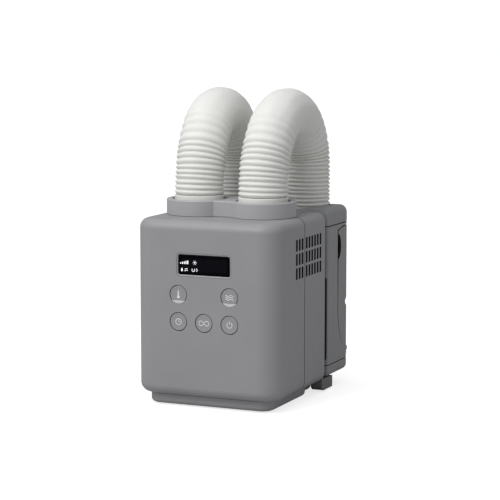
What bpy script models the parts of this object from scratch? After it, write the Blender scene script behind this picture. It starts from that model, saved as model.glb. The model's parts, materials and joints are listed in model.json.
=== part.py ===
# Bedding dryer with two flexible hoses, standing upright with both nozzles stowed behind the body.
# Metres, +Z up. The front panel faces -Y, +X is the right-hand side seen from the front.
# The origin is on the floor, below the middle of the whole object's box.
from math import cos, hypot, pi, radians, sin, sqrt

import bmesh
import bpy
import numpy as np
from mathutils import Matrix, Vector

# ---- driving dimensions ----
BODY_WIDTH = 0.175
BODY_BOTTOM = 0.0135
BODY_TOP = 0.2115
SEAM_DEPTH = 0.0810          # where the front shell ends, measured back from the front panel
BODY_DEPTH = 0.1507
TOTAL_DEPTH = 0.2286         # front panel to the back of the nozzle hinges
WALL = 0.0025
GAP = 0.0003                 # between pieces that touch
SEAM = 0.0006                # visible line between two mouldings

FRONT_RADIUS = 0.025         # upright corners of the front shell
REAR_RADIUS = 0.009          # upright corners of the rear shell
EDGE_RADIUS = 0.011          # top and bottom edges of both shells
RECESS_TOP = 0.1348          # below this height the rear wall steps forward
RECESS_DEPTH = 0.1450

PLINTH_WIDTH = 0.151
PLINTH_FRONT = 0.010
PLINTH_SEAM = 0.078
PLINTH_BACK = 0.150
PLINTH_STEP = 0.113
PLINTH_BOTTOM = 0.0016
PLINTH_RADIUS = 0.015
FOOT_RADIUS = 0.007

PORT_X = 0.0395
PORT_DEPTH = 0.075
COLLAR_RADIUS = 0.0375
COLLAR_TOP = 0.2295
COLLAR_BRIDGE = 0.011        # half width of the flat block between the two collars
CUFF_TOP = 0.2340
CUFF_SHOULDER = 0.2288        # below it the cuff fills the collar, above it the neck is as wide as the hose

HOSE_RADIUS = 0.0284
HOSE_WALL = 0.0020
HOSE_ARCH_CENTRE = 0.264     # height where the arch starts
HOSE_ARCH_RISE = 0.061
HOSE_LEAN = 0.008             # how far the front leg leans back
HOSE_LEAN_HEIGHT = 0.075      # height over which it does
HOSE_ARCH_STEPS = 15

NOZZLE_X = 0.0445
NOZZLE_WIDTH = 0.083
NOZZLE_FRONT = 0.157
NOZZLE_BACK = 0.224
NOZZLE_SPLIT = 0.1905        # depth of the parting line between nozzle base and flap
NOZZLE_BOTTOM = 0.0155
NOZZLE_TIP_TOP = 0.0292
NOZZLE_CAP_BOTTOM = 0.1936
NOZZLE_TOP = 0.2135
NOZZLE_RADIUS = 0.008         # back corners in plan
NOZZLE_FRONT_RADIUS = 0.003
FLAP_TOP = 0.1898
HINGE_DEPTH = 0.2258
HINGE_HEIGHT = 0.0400
HINGE_RADIUS = 0.0028
HINGE_WEB = 0.0070
FLAP_REACH = hypot(HINGE_DEPTH - NOZZLE_BACK, FLAP_TOP - HINGE_HEIGHT)
PIN_RADIUS = 0.0012
FLAP_POCKETS = ((0.0560, 0.0860), (0.1090, 0.1825))
GRIP_HEIGHT = 0.0977         # middle of the finger groove across the back of the flap
GRIP_SIZE = (0.0085, 0.0056)  # its half sizes in depth and height
CRADLE_TOP = 0.1300
CRADLE_ARM = (0.0695, 0.0840)
CRADLE_REACH = 0.1780

DISPLAY_WIDTH = 0.0630
DISPLAY_BOTTOM = 0.1513
DISPLAY_TOP = 0.1739
BEZEL = 0.0015
BEZEL_LIP = 0.0011           # the rim slopes in by this much
WINDOW_DEPTH = 0.0012
BUTTON_PITCH = 0.0311
BUTTON_UPPER = 0.1288
BUTTON_LOWER = 0.0982
BUTTON_RADIUS = 0.0099
BUTTON_HOLE = 0.0107
BUTTON_DEPTH = 0.0052
LAMP_DROP = 0.0061           # the lamp fills the upper buttons below this line

SLOT_WIDTH = 0.0052
SLOT_HEIGHT = 0.0131
SLOT_PITCH = 0.0084
SLOT_ROW_PITCH = 0.0159
SLOT_BOTTOM = 0.1442
FRONT_SLOTS = [0.0580 + SLOT_PITCH * i for i in range(3)]
REAR_SLOTS = [0.0870 + SLOT_PITCH * i for i in range(6)]

FAN_CENTRE = (0.0, 0.092)    # X and Z of the fan axis
FAN_FRONT = 0.058
FAN_BACK = 0.108
FAN_RADIUS = 0.052
IMPELLER_RADIUS = 0.040
IMPELLER_BLADES = 12
CHIMNEY_RIGHT = 0.005
CHIMNEY_TOP = 0.150

CORNER_STEPS = 6
EDGE_STEPS = 4
ROUND_STEPS = 28
SMALL_STEPS = 10            # screws, pins and other pieces a few millimetres across


def y_at(depth):
    """Y of a point that lies this far behind the front panel."""
    return depth - TOTAL_DEPTH / 2


# ---- scene and materials ----
for old in list(bpy.data.objects):
    bpy.data.objects.remove(old)


def make_material(name, colour, roughness, metallic=0.0):
    material = bpy.data.materials.new(name)
    material.use_nodes = True
    shader = material.node_tree.nodes["Principled BSDF"]
    shader.inputs["Base Color"].default_value = (*colour, 1.0)
    shader.inputs["Roughness"].default_value = roughness
    shader.inputs["Metallic"].default_value = metallic
    material.diffuse_color = (*colour, 1.0)
    return material


GREY = make_material("grey_plastic", (0.262, 0.258, 0.274), 0.55)
GREY_DARK = make_material("nozzle_plastic", (0.130, 0.133, 0.141), 0.55)
WHITE_DUCT = make_material("hose_plastic", (0.650, 0.650, 0.620), 0.60)
BLACK_GLASS = make_material("display_black", (0.004, 0.004, 0.006), 0.10)
BEZEL_GREY = make_material("bezel_plastic", (0.400, 0.400, 0.410), 0.45)
LED_LENS = make_material("led_lens", (0.520, 0.510, 0.530), 0.35)
BLACK_PART = make_material("black_plastic", (0.020, 0.020, 0.022), 0.55)
RUBBER = make_material("rubber", (0.030, 0.030, 0.030), 0.85)
BOARD = make_material("circuit_board", (0.030, 0.160, 0.060), 0.50)
STEEL = make_material("steel", (0.560, 0.560, 0.570), 0.35, 1.0)
CERAMIC = make_material("heater_ceramic", (0.420, 0.360, 0.300), 0.70)


# ---- mesh helpers ----
def add_mesh(name, verts, faces, material):
    mesh = bpy.data.meshes.new(name)
    mesh.from_pydata([tuple(v) for v in verts], [], faces)
    shape = bmesh.new()
    shape.from_mesh(mesh)
    bmesh.ops.recalc_face_normals(shape, faces=shape.faces)
    shape.to_mesh(mesh)
    shape.free()
    mesh.materials.append(material)
    node = bpy.data.objects.new(name, mesh)
    bpy.context.collection.objects.link(node)
    return node


def soften(node, angle=32):
    node.data.shade_smooth()
    node.data.set_sharp_from_angle(angle=radians(angle))
    return node


def arc(centre, radius, start, end, steps):
    angles = np.radians(np.linspace(start, end, steps + 1))
    return [(centre[0] + radius * cos(a), centre[1] + radius * sin(a)) for a in angles]


def rounded_outline(left, right, front, back, front_radius, back_radius, steps=CORNER_STEPS):
    """Counterclockwise outline in plan. A radius of 0 leaves that pair of corners square."""
    points = []
    corners = [
        (left, front, 1, 1, front_radius, 180),
        (right, front, -1, 1, front_radius, 270),
        (right, back, -1, -1, back_radius, 0),
        (left, back, 1, -1, back_radius, 90),
    ]
    for x, y, side, way, radius, start in corners:
        if radius == 0:
            points.append((x, y))
        else:
            centre = (x + side * radius, y + way * radius)
            points += arc(centre, radius, start, start + 90, steps)
    return points


def loft(name, rings, material):
    """Closed solid through rings of equal length, with a flat cap at each end."""
    count = len(rings[0])
    verts = [point for ring in rings for point in ring]
    faces = [list(range(count))[::-1]]
    for level in range(len(rings) - 1):
        low = level * count
        high = low + count
        for i in range(count):
            j = (i + 1) % count
            faces.append([low + i, low + j, high + j, high + i])
    top = (len(rings) - 1) * count
    faces.append(list(range(top, top + count)))
    return add_mesh(name, verts, faces, material)


def edge_levels(bottom, top, low_radius, high_radius, steps=EDGE_STEPS):
    """Pairs of inset and height that round the lower and the upper edge of a block."""
    levels = []
    turns = np.linspace(0, pi / 2, steps + 1)
    if low_radius > 0:
        levels += [(low_radius * (1 - sin(t)), bottom + low_radius * (1 - cos(t))) for t in turns]
    else:
        levels.append((0.0, bottom))
    if high_radius > 0:
        levels += [(high_radius * (1 - cos(t)), top - high_radius * (1 - sin(t))) for t in turns]
    else:
        levels.append((0.0, top))
    return levels


def block(name, x, depth, z, radius, material, low_edge=0.0, high_edge=0.0, back_radius=None):
    """Upright block with rounded corners in plan and rounded lower and upper edges."""
    rings = []
    rear = radius if back_radius is None else back_radius
    for inset, height in edge_levels(z[0], z[1], low_edge, high_edge):
        front_r = max(radius - inset, 0.0006) if radius > 0 else 0
        back_r = max(rear - inset, 0.0006) if rear > 0 else 0
        outline = rounded_outline(
            x[0] + inset, x[1] - inset, y_at(depth[0]) + inset, y_at(depth[1]) - inset, front_r, back_r
        )
        rings.append([(px, py, height) for px, py in outline])
    return loft(name, rings, material)


def box(name, x, depth, z, material):
    rings = []
    for height in z:
        rings.append([(px, y_at(d), height) for px, d in
                      ((x[0], depth[0]), (x[1], depth[0]), (x[1], depth[1]), (x[0], depth[1]))])
    return loft(name, rings, material)


def turned(name, axis, centre, profile, material, steps=ROUND_STEPS):
    """Solid turned about a line along axis through centre. The profile is a closed loop of
    (radius, distance along the axis) pairs; one that touches the axis is capped there."""
    angles = np.linspace(0, 2 * pi, steps, endpoint=False)
    rings = []
    for angle in angles:
        ring = []
        for radius, along in profile:
            a = radius * cos(angle)
            b = radius * sin(angle)
            offset = {"X": (along, a, b), "Y": (b, along, a), "Z": (a, b, along)}[axis]
            ring.append(tuple(c + o for c, o in zip(centre, offset)))
        rings.append(ring)
    count = len(profile)
    verts = [point for ring in rings for point in ring]
    faces = []
    for i in range(steps):
        j = (i + 1) % steps
        for k in range(count):
            m = (k + 1) % count
            faces.append([i * count + k, i * count + m, j * count + m, j * count + k])
    node = add_mesh(name, verts, faces, material)
    clean_up(node)
    return node


def cylinder(name, axis, centre, radius, low, high, material, steps=ROUND_STEPS):
    angles = np.linspace(0, 2 * pi, steps, endpoint=False)
    rings = []
    for along in (low, high):
        ring = []
        for angle in angles:
            a = radius * cos(angle)
            b = radius * sin(angle)
            offset = {"X": (along, a, b), "Y": (b, along, a), "Z": (a, b, along)}[axis]
            ring.append(tuple(c + o for c, o in zip(centre, offset)))
        rings.append(ring)
    return loft(name, rings, material)


def side_profile(name, outline, x, material):
    """Solid with a side outline of (depth, height) points, carried along X."""
    rings = [[(px, y_at(d), z) for d, z in outline] for px in x]
    return loft(name, rings, material)


def clean_up(node):
    shape = bmesh.new()
    shape.from_mesh(node.data)
    bmesh.ops.remove_doubles(shape, verts=shape.verts, dist=1e-6)
    bmesh.ops.dissolve_degenerate(shape, edges=shape.edges, dist=1e-7)
    bmesh.ops.recalc_face_normals(shape, faces=shape.faces)
    shape.to_mesh(node.data)
    shape.free()


def joined(name, parts):
    """One mesh of several separate closed shapes, to use as a single cutter."""
    shape = bmesh.new()
    for part in parts:
        shape.from_mesh(part.data)
        bpy.data.objects.remove(part)
    mesh = bpy.data.meshes.new(name)
    shape.to_mesh(mesh)
    shape.free()
    node = bpy.data.objects.new(name, mesh)
    bpy.context.collection.objects.link(node)
    return node


def combine(node, tool, operation="DIFFERENCE"):
    """Applies an exact Boolean to the node and removes the tool."""
    modifier = node.modifiers.new("Boolean", "BOOLEAN")
    modifier.operation = operation
    modifier.solver = "EXACT"
    modifier.object = tool
    depsgraph = bpy.context.evaluated_depsgraph_get()
    result = bpy.data.meshes.new_from_object(node.evaluated_get(depsgraph))
    node.modifiers.clear()
    node.data = result
    bpy.data.objects.remove(tool)
    clean_up(node)
    return node


def mirror_x(node, name):
    """Left-hand copy of a right-hand piece, as its own mesh."""
    shape = bmesh.new()
    shape.from_mesh(node.data)
    bmesh.ops.scale(shape, vec=(-1, 1, 1), verts=shape.verts)
    bmesh.ops.reverse_faces(shape, faces=shape.faces)
    mesh = bpy.data.meshes.new(name)
    shape.to_mesh(mesh)
    shape.free()
    mesh.materials.append(node.data.materials[0])
    copy = bpy.data.objects.new(name, mesh)
    bpy.context.collection.objects.link(copy)
    return soften(copy)


def move_origin(node, point):
    """Puts the object's origin on its joint's axis and leaves the shape where it is."""
    node.data.transform(Matrix.Translation(-Vector(point)))
    node.location = point
    return node


# ---- body shells ----
def half_shell(name, is_front):
    half = BODY_WIDTH / 2

    def rings(wall):
        made = []
        low = BODY_BOTTOM + wall
        high = BODY_TOP - wall
        edge = EDGE_RADIUS - wall
        for inset, height in edge_levels(low, high, edge, edge):
            side = half - wall - inset
            if is_front:
                back = SEAM_DEPTH + (0.002 if wall else 0)
                front = wall + inset
                radii = (FRONT_RADIUS - wall - inset, 0)
            else:
                back = BODY_DEPTH - wall - inset
                front = SEAM_DEPTH + SEAM - (0.002 if wall else 0)
                radii = (0, max(REAR_RADIUS - wall - inset, 0.0008))
            outline = rounded_outline(-side, side, y_at(front), y_at(back), *radii)
            made.append([(px, py, height) for px, py in outline])
        return made

    shell = loft(name, rings(0), GREY)
    if is_front:
        combine(shell, loft("cavity", rings(WALL), GREY))
        return shell
    recess = box("recess", (-0.1, 0.1), (RECESS_DEPTH, 0.16), (0.0, RECESS_TOP), GREY)
    combine(shell, recess)
    cavity = loft("cavity", rings(WALL), GREY)
    keep = box("step", (-0.1, 0.1), (RECESS_DEPTH - WALL, 0.16), (0.0, RECESS_TOP + WALL), GREY)
    combine(cavity, keep)
    return combine(shell, cavity)


def side_slots(depths):
    """Three rows of upright slots through both side walls."""
    cutters = []
    for side in (-1, 1):
        x = sorted((side * 0.080, side * 0.095))
        for depth in depths:
            for row in range(3):
                low = SLOT_BOTTOM + row * SLOT_ROW_PITCH
                half = SLOT_WIDTH / 2
                cutters.append(box("slot", x, (depth - half, depth + half), (low, low + SLOT_HEIGHT), GREY))
    return joined("slots", cutters)


def hose_ports(radius):
    holes = []
    for side in (-1, 1):
        centre = (side * PORT_X, y_at(PORT_DEPTH), 0)
        holes.append(cylinder("port", "Z", centre, radius, 0.204, 0.240, GREY))
    return joined("ports", holes)


BUTTONS = [
    ("temperature", -BUTTON_PITCH, BUTTON_UPPER),
    ("turbo", BUTTON_PITCH, BUTTON_UPPER),
    ("timer", -BUTTON_PITCH, BUTTON_LOWER),
    ("auto", 0.0, BUTTON_LOWER),
    ("power", BUTTON_PITCH, BUTTON_LOWER),
]


def screw(name, axis, centre, way, head, shank, length):
    """Pan-head screw. It points along way; centre is the outer face of its head."""
    profile = [(0.0, 0.0), (head * 0.8, 0.0), (head, way * 0.0006), (head, way * 0.0019),
               (shank, way * 0.0019), (shank, way * length), (0.0, way * length)]
    return soften(turned(name, axis, centre, profile, STEEL, SMALL_STEPS))


front_shell = half_shell("front_shell", True)
combine(front_shell, side_slots(FRONT_SLOTS))
combine(front_shell, hose_ports(0.0305))
window_half = DISPLAY_WIDTH / 2 + BEZEL + GAP
combine(front_shell, box("window", (-window_half, window_half), (-0.001, 0.004),
                         (DISPLAY_BOTTOM - BEZEL - GAP, DISPLAY_TOP + BEZEL + GAP), GREY))
button_holes = [cylinder("hole", "Y", (x, 0, z), BUTTON_HOLE, y_at(-0.001), y_at(0.004), GREY)
                for _, x, z in BUTTONS]
combine(front_shell, joined("holes", button_holes))
soften(front_shell)

rear_shell = half_shell("rear_shell", False)
combine(rear_shell, side_slots(REAR_SLOTS))
combine(rear_shell, hose_ports(0.0305))
CRADLE_SCREWS = [(-0.050, 0.045), (0.050, 0.045)]
cradle_holes = [cylinder("hole", "Y", (x, 0, z), 0.0019, y_at(0.140), y_at(0.149), GREY, 12)
                for x, z in CRADLE_SCREWS]
combine(rear_shell, joined("holes", cradle_holes))
soften(rear_shell)


# ---- plinth, feet and base screws ----
def plinth_outline(inset, is_front):
    half = PLINTH_WIDTH / 2 - inset
    if is_front:
        front = PLINTH_FRONT + inset
        return rounded_outline(-half, half, y_at(front), y_at(PLINTH_SEAM), PLINTH_RADIUS - inset, 0)
    narrow = half - 0.008
    depths = [(half, PLINTH_SEAM + SEAM), (half, PLINTH_STEP - inset), (narrow, PLINTH_STEP + 0.006 - inset),
              (narrow, PLINTH_BACK - inset)]
    right = [(x, y_at(d)) for x, d in depths]
    return right + [(-x, y) for x, y in right[::-1]]


BASE_SCREWS = [(-0.050, 0.045), (0.050, 0.045), (-0.045, 0.120), (0.045, 0.120)]
PLINTH_TOP = BODY_BOTTOM - GAP
for is_front, name in ((True, "plinth_front"), (False, "plinth_rear")):
    levels = edge_levels(PLINTH_BOTTOM, PLINTH_TOP, 0.005, 0.0, 3)
    rings = [[(x, y, z) for x, y in plinth_outline(inset, is_front)] for inset, z in levels]
    plinth = loft(name, rings, GREY)
    hollow = [[(x, y, z) for x, y in plinth_outline(0.0035, is_front)] for z in (0.0048, 0.02)]
    if not is_front:
        hollow = [[(x, y if y > y_at(0.09) else y + 0.003, z) for x, y, z in ring] for ring in hollow]
    else:
        hollow = [[(x, y if y < y_at(0.07) else y - 0.003, z) for x, y, z in ring] for ring in hollow]
    combine(plinth, loft("hollow", hollow, GREY))
    holes = [cylinder("hole", "Z", (x, y_at(d), 0), 0.0036, 0.0, 0.006, GREY, 16)
             for x, d in BASE_SCREWS if (d < PLINTH_SEAM) == is_front]
    combine(plinth, joined("holes", holes))
    soften(plinth)

for i, (x, d) in enumerate(BASE_SCREWS):
    screw(f"screw_base_{i + 1}", "Z", (x, y_at(d), 0.0020), 1, 0.0032, 0.0015, 0.0105)

FEET = [("front_left", -0.058, 0.028), ("front_right", 0.058, 0.028),
        ("rear_left", -0.056, 0.138), ("rear_right", 0.056, 0.138)]
for place, x, d in FEET:
    height = PLINTH_BOTTOM - GAP
    profile = [(0.0, 0.0), (FOOT_RADIUS - 0.0004, 0.0), (FOOT_RADIUS, 0.0005),
               (FOOT_RADIUS, height), (0.0, height)]
    soften(turned(f"foot_{place}", "Z", (x, y_at(d), 0), profile, RUBBER, 20))


# ---- outlet collar, cuffs and hoses ----
def collar_outline(inset):
    """Two circles joined by a flat block; runs counterclockwise from the block's front right edge."""
    radius = COLLAR_RADIUS - inset
    reach = PORT_X - COLLAR_BRIDGE
    sweep = np.degrees(np.arccos(reach / radius))
    right = arc((PORT_X, y_at(PORT_DEPTH)), radius, -180 + sweep, 180 - sweep, 24)
    left = [(-x, 2 * y_at(PORT_DEPTH) - y) for x, y in right]
    return right + left


collar_levels = [(0.0, BODY_TOP + GAP), (0.0, COLLAR_TOP - 0.0014), (0.0004, COLLAR_TOP - 0.0004),
                 (0.0014, COLLAR_TOP)]
collar_rings = [[(x, y, z) for x, y in collar_outline(inset)] for inset, z in collar_levels]
outlet_collar = loft("outlet_collar", collar_rings, GREY)
combine(outlet_collar, hose_ports(0.0312))
soften(outlet_collar)

for side, place in ((-1, "left"), (1, "right")):
    outer = 0.0308
    neck = 0.0282
    inner = 0.0262
    low = 0.2140
    profile = [(outer, low), (outer, CUFF_SHOULDER), (neck, CUFF_SHOULDER + 0.0006),
               (neck, CUFF_TOP - 0.0006), (neck - 0.0006, CUFF_TOP), (inner, CUFF_TOP), (inner, low)]
    soften(turned(f"hose_cuff_{place}", "Z", (side * PORT_X, y_at(PORT_DEPTH), 0), profile, WHITE_DUCT))


def hose_centreline():
    """Right-hand hose: up out of the collar, leaning back a little as it rises, over an elliptical
    arch, and straight down into the nozzle's socket."""
    start = CUFF_TOP + GAP
    end = 0.2073
    rear = (NOZZLE_FRONT + NOZZLE_BACK) / 2
    spring = PORT_DEPTH + HOSE_LEAN
    middle = (spring + rear) / 2
    reach = (rear - spring) / 2
    points = [(PORT_X, spring, start + (HOSE_ARCH_CENTRE - start) * t) for t in (0.0, 0.5)]
    for angle in np.linspace(0, pi, HOSE_ARCH_STEPS):
        x = PORT_X + (NOZZLE_X - PORT_X) * angle / pi
        points.append((x, middle - reach * cos(angle), HOSE_ARCH_CENTRE + HOSE_ARCH_RISE * sin(angle)))
    points += [(NOZZLE_X, rear, HOSE_ARCH_CENTRE + (end - HOSE_ARCH_CENTRE) * t) for t in (0.5, 1.0)]
    leaning = []
    for i, (x, d, z) in enumerate(points):
        rise = min((z - start) / HOSE_LEAN_HEIGHT, 1.0) if i < HOSE_ARCH_STEPS // 2 else 1.0
        leaning.append((x, d - HOSE_LEAN * (1 - rise * rise * (3 - 2 * rise)), z))
    return [Vector((x, y_at(d), z)) for x, d, z in leaning]


def swept_tube(name, path, outer, inner, material, sides=16):
    """Round tube with a wall, open at both ends, carried along the path."""
    rings_out = []
    rings_in = []
    for i, point in enumerate(path):
        ahead = path[min(i + 1, len(path) - 1)] - path[max(i - 1, 0)]
        if i in (0, len(path) - 1):
            ahead = Vector((0, 0, 1 if i == 0 else -1))
        ahead.normalize()
        across = Vector((1, 0, 0))
        across = (across - ahead * across.dot(ahead)).normalized()
        up = ahead.cross(across)
        for radius, rings in ((outer, rings_out), (inner, rings_in)):
            rings.append([point + (across * cos(a) + up * sin(a)) * radius
                          for a in np.linspace(0, 2 * pi, sides, endpoint=False)])
    rings = rings_out + rings_in[::-1]
    verts = [point for ring in rings for point in ring]
    faces = []
    for level in range(len(rings)):
        low = level * sides
        high = (level + 1) % len(rings) * sides
        for k in range(sides):
            m = (k + 1) % sides
            faces.append([low + k, low + m, high + m, high + k])
    return soften(add_mesh(name, verts, faces, material))


hose_right = swept_tube("hose_right", hose_centreline(), HOSE_RADIUS, HOSE_RADIUS - HOSE_WALL, WHITE_DUCT)
mirror_x(hose_right, "hose_left")


# ---- front panel: display, buttons, lamps, board ----
half = DISPLAY_WIDTH / 2
bezel = box("display_bezel", (-half - BEZEL, half + BEZEL), (0.0001, 0.0030),
            (DISPLAY_BOTTOM - BEZEL, DISPLAY_TOP + BEZEL), BEZEL_GREY)
rim = []
for depth, grow in ((-0.0010, BEZEL_LIP), (0.0001, BEZEL_LIP), (WINDOW_DEPTH, 0.0), (0.0040, 0.0)):
    low = DISPLAY_BOTTOM - grow
    high = DISPLAY_TOP + grow
    side = half + grow
    rim.append([(x, y_at(depth), z) for x, z in ((-side, low), (side, low), (side, high), (-side, high))])
combine(bezel, loft("inside", rim, GREY))
box("display_window", (-half + GAP, half - GAP), (WINDOW_DEPTH, WINDOW_DEPTH + 0.0015),
    (DISPLAY_BOTTOM + GAP, DISPLAY_TOP - GAP), BLACK_GLASS)
box("display_module", (-half + 0.001, half - 0.001), (0.0045, 0.0082),
    (DISPLAY_BOTTOM + 0.001, DISPLAY_TOP - 0.001), BLACK_PART)
box("control_board", (-0.060, 0.060), (0.0088, 0.0104), (0.0840, 0.1790), BOARD)

for label, x, z in BUTTONS:
    profile = [(0.0, 0.0005), (0.0070, 0.0005), (BUTTON_RADIUS - 0.0005, 0.0002), (BUTTON_RADIUS, 0.0007),
               (BUTTON_RADIUS, BUTTON_DEPTH), (0.0, BUTTON_DEPTH)]
    button = turned(f"button_{label}", "Y", (x, y_at(0), z), profile, GREY, 24)
    if z == BUTTON_UPPER:
        seat = box("seat", (x - 0.012, x + 0.012), (-0.001, 0.0015), (z - 0.012, z - LAMP_DROP), GREY)
        combine(button, seat)
    soften(move_origin(button, (x, y_at(0), z)))
    if z == BUTTON_UPPER:
        lamp = cylinder(f"lamp_{label}", "Y", (x, 0, z), 0.0095, y_at(0.0003), y_at(0.0012), LED_LENS, 24)
        above = box("above", (-0.1, 0.1), (-0.01, 0.01), (z - LAMP_DROP - GAP, 0.3), GREY)
        combine(lamp, above)
        soften(move_origin(lamp, (x, y_at(0), z)))
    box(f"switch_{label}", (x - 0.003, x + 0.003), (BUTTON_DEPTH + 0.0014, 0.0085),
        (z - 0.003, z + 0.003), BLACK_PART)

# ---- air filters behind the side slots ----
for side, place in ((-1, "left"), (1, "right")):
    inner = BODY_WIDTH / 2 - WALL - GAP
    box(f"slot_filter_{place}", sorted((side * (inner - 0.0012), side * inner)), (0.050, 0.138),
        (0.141, 0.192), BLACK_PART)

# ---- fan, heater and air path ----
fan_x, fan_z = FAN_CENTRE


def volute_outline(inset):
    """Scroll seen from the front: a round back and a chimney on the left."""
    radius = FAN_RADIUS - inset
    right = CHIMNEY_RIGHT - inset
    end = np.degrees(np.arccos(right / radius))
    points = [(x, z) for x, z in arc((fan_x, fan_z), radius, 180, 360 + end, 26)]
    points.append((right, CHIMNEY_TOP + inset))
    points.append((-radius, CHIMNEY_TOP + inset))
    return points


def front_profile(name, outline, depth, material):
    rings = [[(x, y_at(d), z) for x, z in outline] for d in depth]
    return loft(name, rings, material)


fan_housing = front_profile("fan_housing", volute_outline(0.0), (FAN_FRONT, FAN_BACK), BLACK_PART)
combine(fan_housing, front_profile("inside", volute_outline(WALL), (FAN_FRONT + WALL, FAN_BACK - WALL), GREY))
combine(fan_housing, cylinder("inlet", "Y", (fan_x, 0, fan_z), 0.030, y_at(0.05), y_at(0.07), GREY))
combine(fan_housing, cylinder("shaft_hole", "Y", (fan_x, 0, fan_z), 0.008, y_at(0.10), y_at(0.12), GREY, 16))
soften(fan_housing)

fan_axis = (fan_x, 0, fan_z)
impeller = cylinder("impeller", "Y", fan_axis, IMPELLER_RADIUS, y_at(0.0635), y_at(0.1010), BLACK_PART)
combine(impeller, turned("inside", "Y", (fan_x, y_at(0), fan_z),
                         [(0.010, 0.0985), (0.010, 0.0800), (0.0, 0.0800), (0.0, 0.0600), (0.034, 0.0600),
                          (0.034, 0.0985)], GREY))
spaces = []
for i in range(IMPELLER_BLADES):
    space = box("space", (-0.0058, 0.0058), (0.0660, 0.0985), (0.030, 0.045), GREY)
    turn = Matrix.Rotation(2 * pi * i / IMPELLER_BLADES, 4, "Y")
    space.data.transform(Matrix.Translation((fan_x, 0, fan_z)) @ turn)
    spaces.append(space)
combine(impeller, joined("spaces", spaces))
combine(impeller, cylinder("bore", "Y", (fan_x, 0, fan_z), 0.0033, y_at(0.07), y_at(0.11), GREY, 16))
soften(move_origin(impeller, (fan_x, y_at(0.082), fan_z)))
shaft = cylinder("motor_shaft", "Y", (fan_x, 0, fan_z), 0.0030, y_at(0.0820), y_at(0.1300), STEEL, 16)
soften(move_origin(shaft, (fan_x, y_at(0.082), fan_z)))

motor_profile = [(0.0035, 0.1090), (0.0230, 0.1090), (0.0250, 0.1110), (0.0250, 0.1340), (0.0230, 0.1360),
                 (0.0035, 0.1360)]
soften(turned("fan_motor", "Y", (fan_x, y_at(0), fan_z), motor_profile, STEEL))

HEATER_WALL = 0.003
HEATER_FIN_PITCH = 0.0065
HEATER_FIN_GAP = 0.0040
heater_left = -FAN_RADIUS
duct_inside_x = (heater_left + HEATER_WALL, CHIMNEY_RIGHT - HEATER_WALL)
duct_inside_depth = (FAN_FRONT + HEATER_WALL, FAN_BACK - HEATER_WALL)
heater_frame = box("heater_frame", (heater_left, CHIMNEY_RIGHT), (FAN_FRONT, FAN_BACK),
                   (CHIMNEY_TOP + GAP, 0.172), BLACK_PART)
combine(heater_frame, box("inside", duct_inside_x, duct_inside_depth, (0.14, 0.18), GREY))
heater_core = box("heater_core", (duct_inside_x[0] + GAP, duct_inside_x[1] - GAP),
                  (duct_inside_depth[0] + GAP, duct_inside_depth[1] - GAP), (0.1530, 0.1690), CERAMIC)
fins = []
for i in range(7):
    low = duct_inside_x[0] + 0.0035 + i * HEATER_FIN_PITCH
    fins.append(box("gap", (low, low + HEATER_FIN_GAP), (0.0645, 0.1015), (0.14, 0.18), GREY))
combine(heater_core, joined("gaps", fins))
fuse_place = (CHIMNEY_RIGHT + 0.004, y_at(0.083), 0)
soften(cylinder("thermal_fuse", "Z", fuse_place, 0.0030, 0.154, 0.168, STEEL, SMALL_STEPS))

outlet_duct = block("outlet_duct", (-0.074, 0.074), (0.046, 0.112), (0.1723, 0.2085), 0.008, BLACK_PART)
combine(outlet_duct, block("inside", (-0.072, 0.072), (0.048, 0.110), (0.1743, 0.2065), 0.006, GREY))
combine(outlet_duct, box("inlet", duct_inside_x, duct_inside_depth, (0.165, 0.18), GREY))
combine(outlet_duct, hose_ports(0.0255))
soften(outlet_duct)

power_board = box("power_board", (-0.060, 0.060), (0.018, 0.120), (0.0200, 0.0216), BOARD)
blocks = [box("part", (-0.050, -0.030), (0.030, 0.055), (0.0210, 0.0340), GREY),
          box("part", (-0.010, 0.012), (0.060, 0.090), (0.0210, 0.0320), GREY),
          box("part", (0.030, 0.052), (0.028, 0.050), (0.0210, 0.0360), GREY)]
combine(power_board, joined("parts", blocks), "UNION")


# ---- nozzles: cap, base, flap, tip and hinge pin ----
def flap_outline(grow):
    """Side outline of the flap. Its parting edge has a finger cut near the top and runs back to the
    hinge near the bottom. Its top edge is an arc about the hinge, so that it clears the nozzle as it
    swings. With grow, the edges move out by that much, for the base's cutter."""
    edge = [(NOZZLE_SPLIT, 0.1810)]
    for t in np.linspace(0, pi, 7)[1:-1]:
        bulge = 0.0 if grow else 0.0085 * sin(t)
        edge.append((NOZZLE_SPLIT + bulge, 0.1660 + 0.0150 * cos(t)))
    edge += [(NOZZLE_SPLIT, 0.1510), (NOZZLE_SPLIT, 0.0880), (NOZZLE_SPLIT + 0.0012, 0.0780),
             (NOZZLE_SPLIT + 0.0045, 0.0660), (NOZZLE_SPLIT + 0.0115, 0.0510), (0.2105, 0.0460)]
    edge = [(d - grow, z) for d, z in edge]
    # the last stretch drops below the hinge line only as far as the gap asks
    edge.append((0.2210 - grow, 0.0430 - grow))
    edge.append((0.2330, 0.0430 - grow))
    reach = FLAP_REACH + grow
    for depth in np.linspace(0.2330, NOZZLE_SPLIT - grow, 10):
        edge.append((depth, HINGE_HEIGHT + sqrt(reach ** 2 - (HINGE_DEPTH - depth) ** 2)))
    return edge


nozzle_x = (NOZZLE_X - NOZZLE_WIDTH / 2, NOZZLE_X + NOZZLE_WIDTH / 2)
nozzle_depth = (NOZZLE_FRONT, NOZZLE_BACK)
KNUCKLES = [(0.0060, 0.0310), (0.0315, 0.0575), (0.0580, 0.0830)]
hinge_centre = (0, y_at(HINGE_DEPTH), HINGE_HEIGHT)
nozzle_middle = (NOZZLE_FRONT + NOZZLE_BACK) / 2


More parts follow.
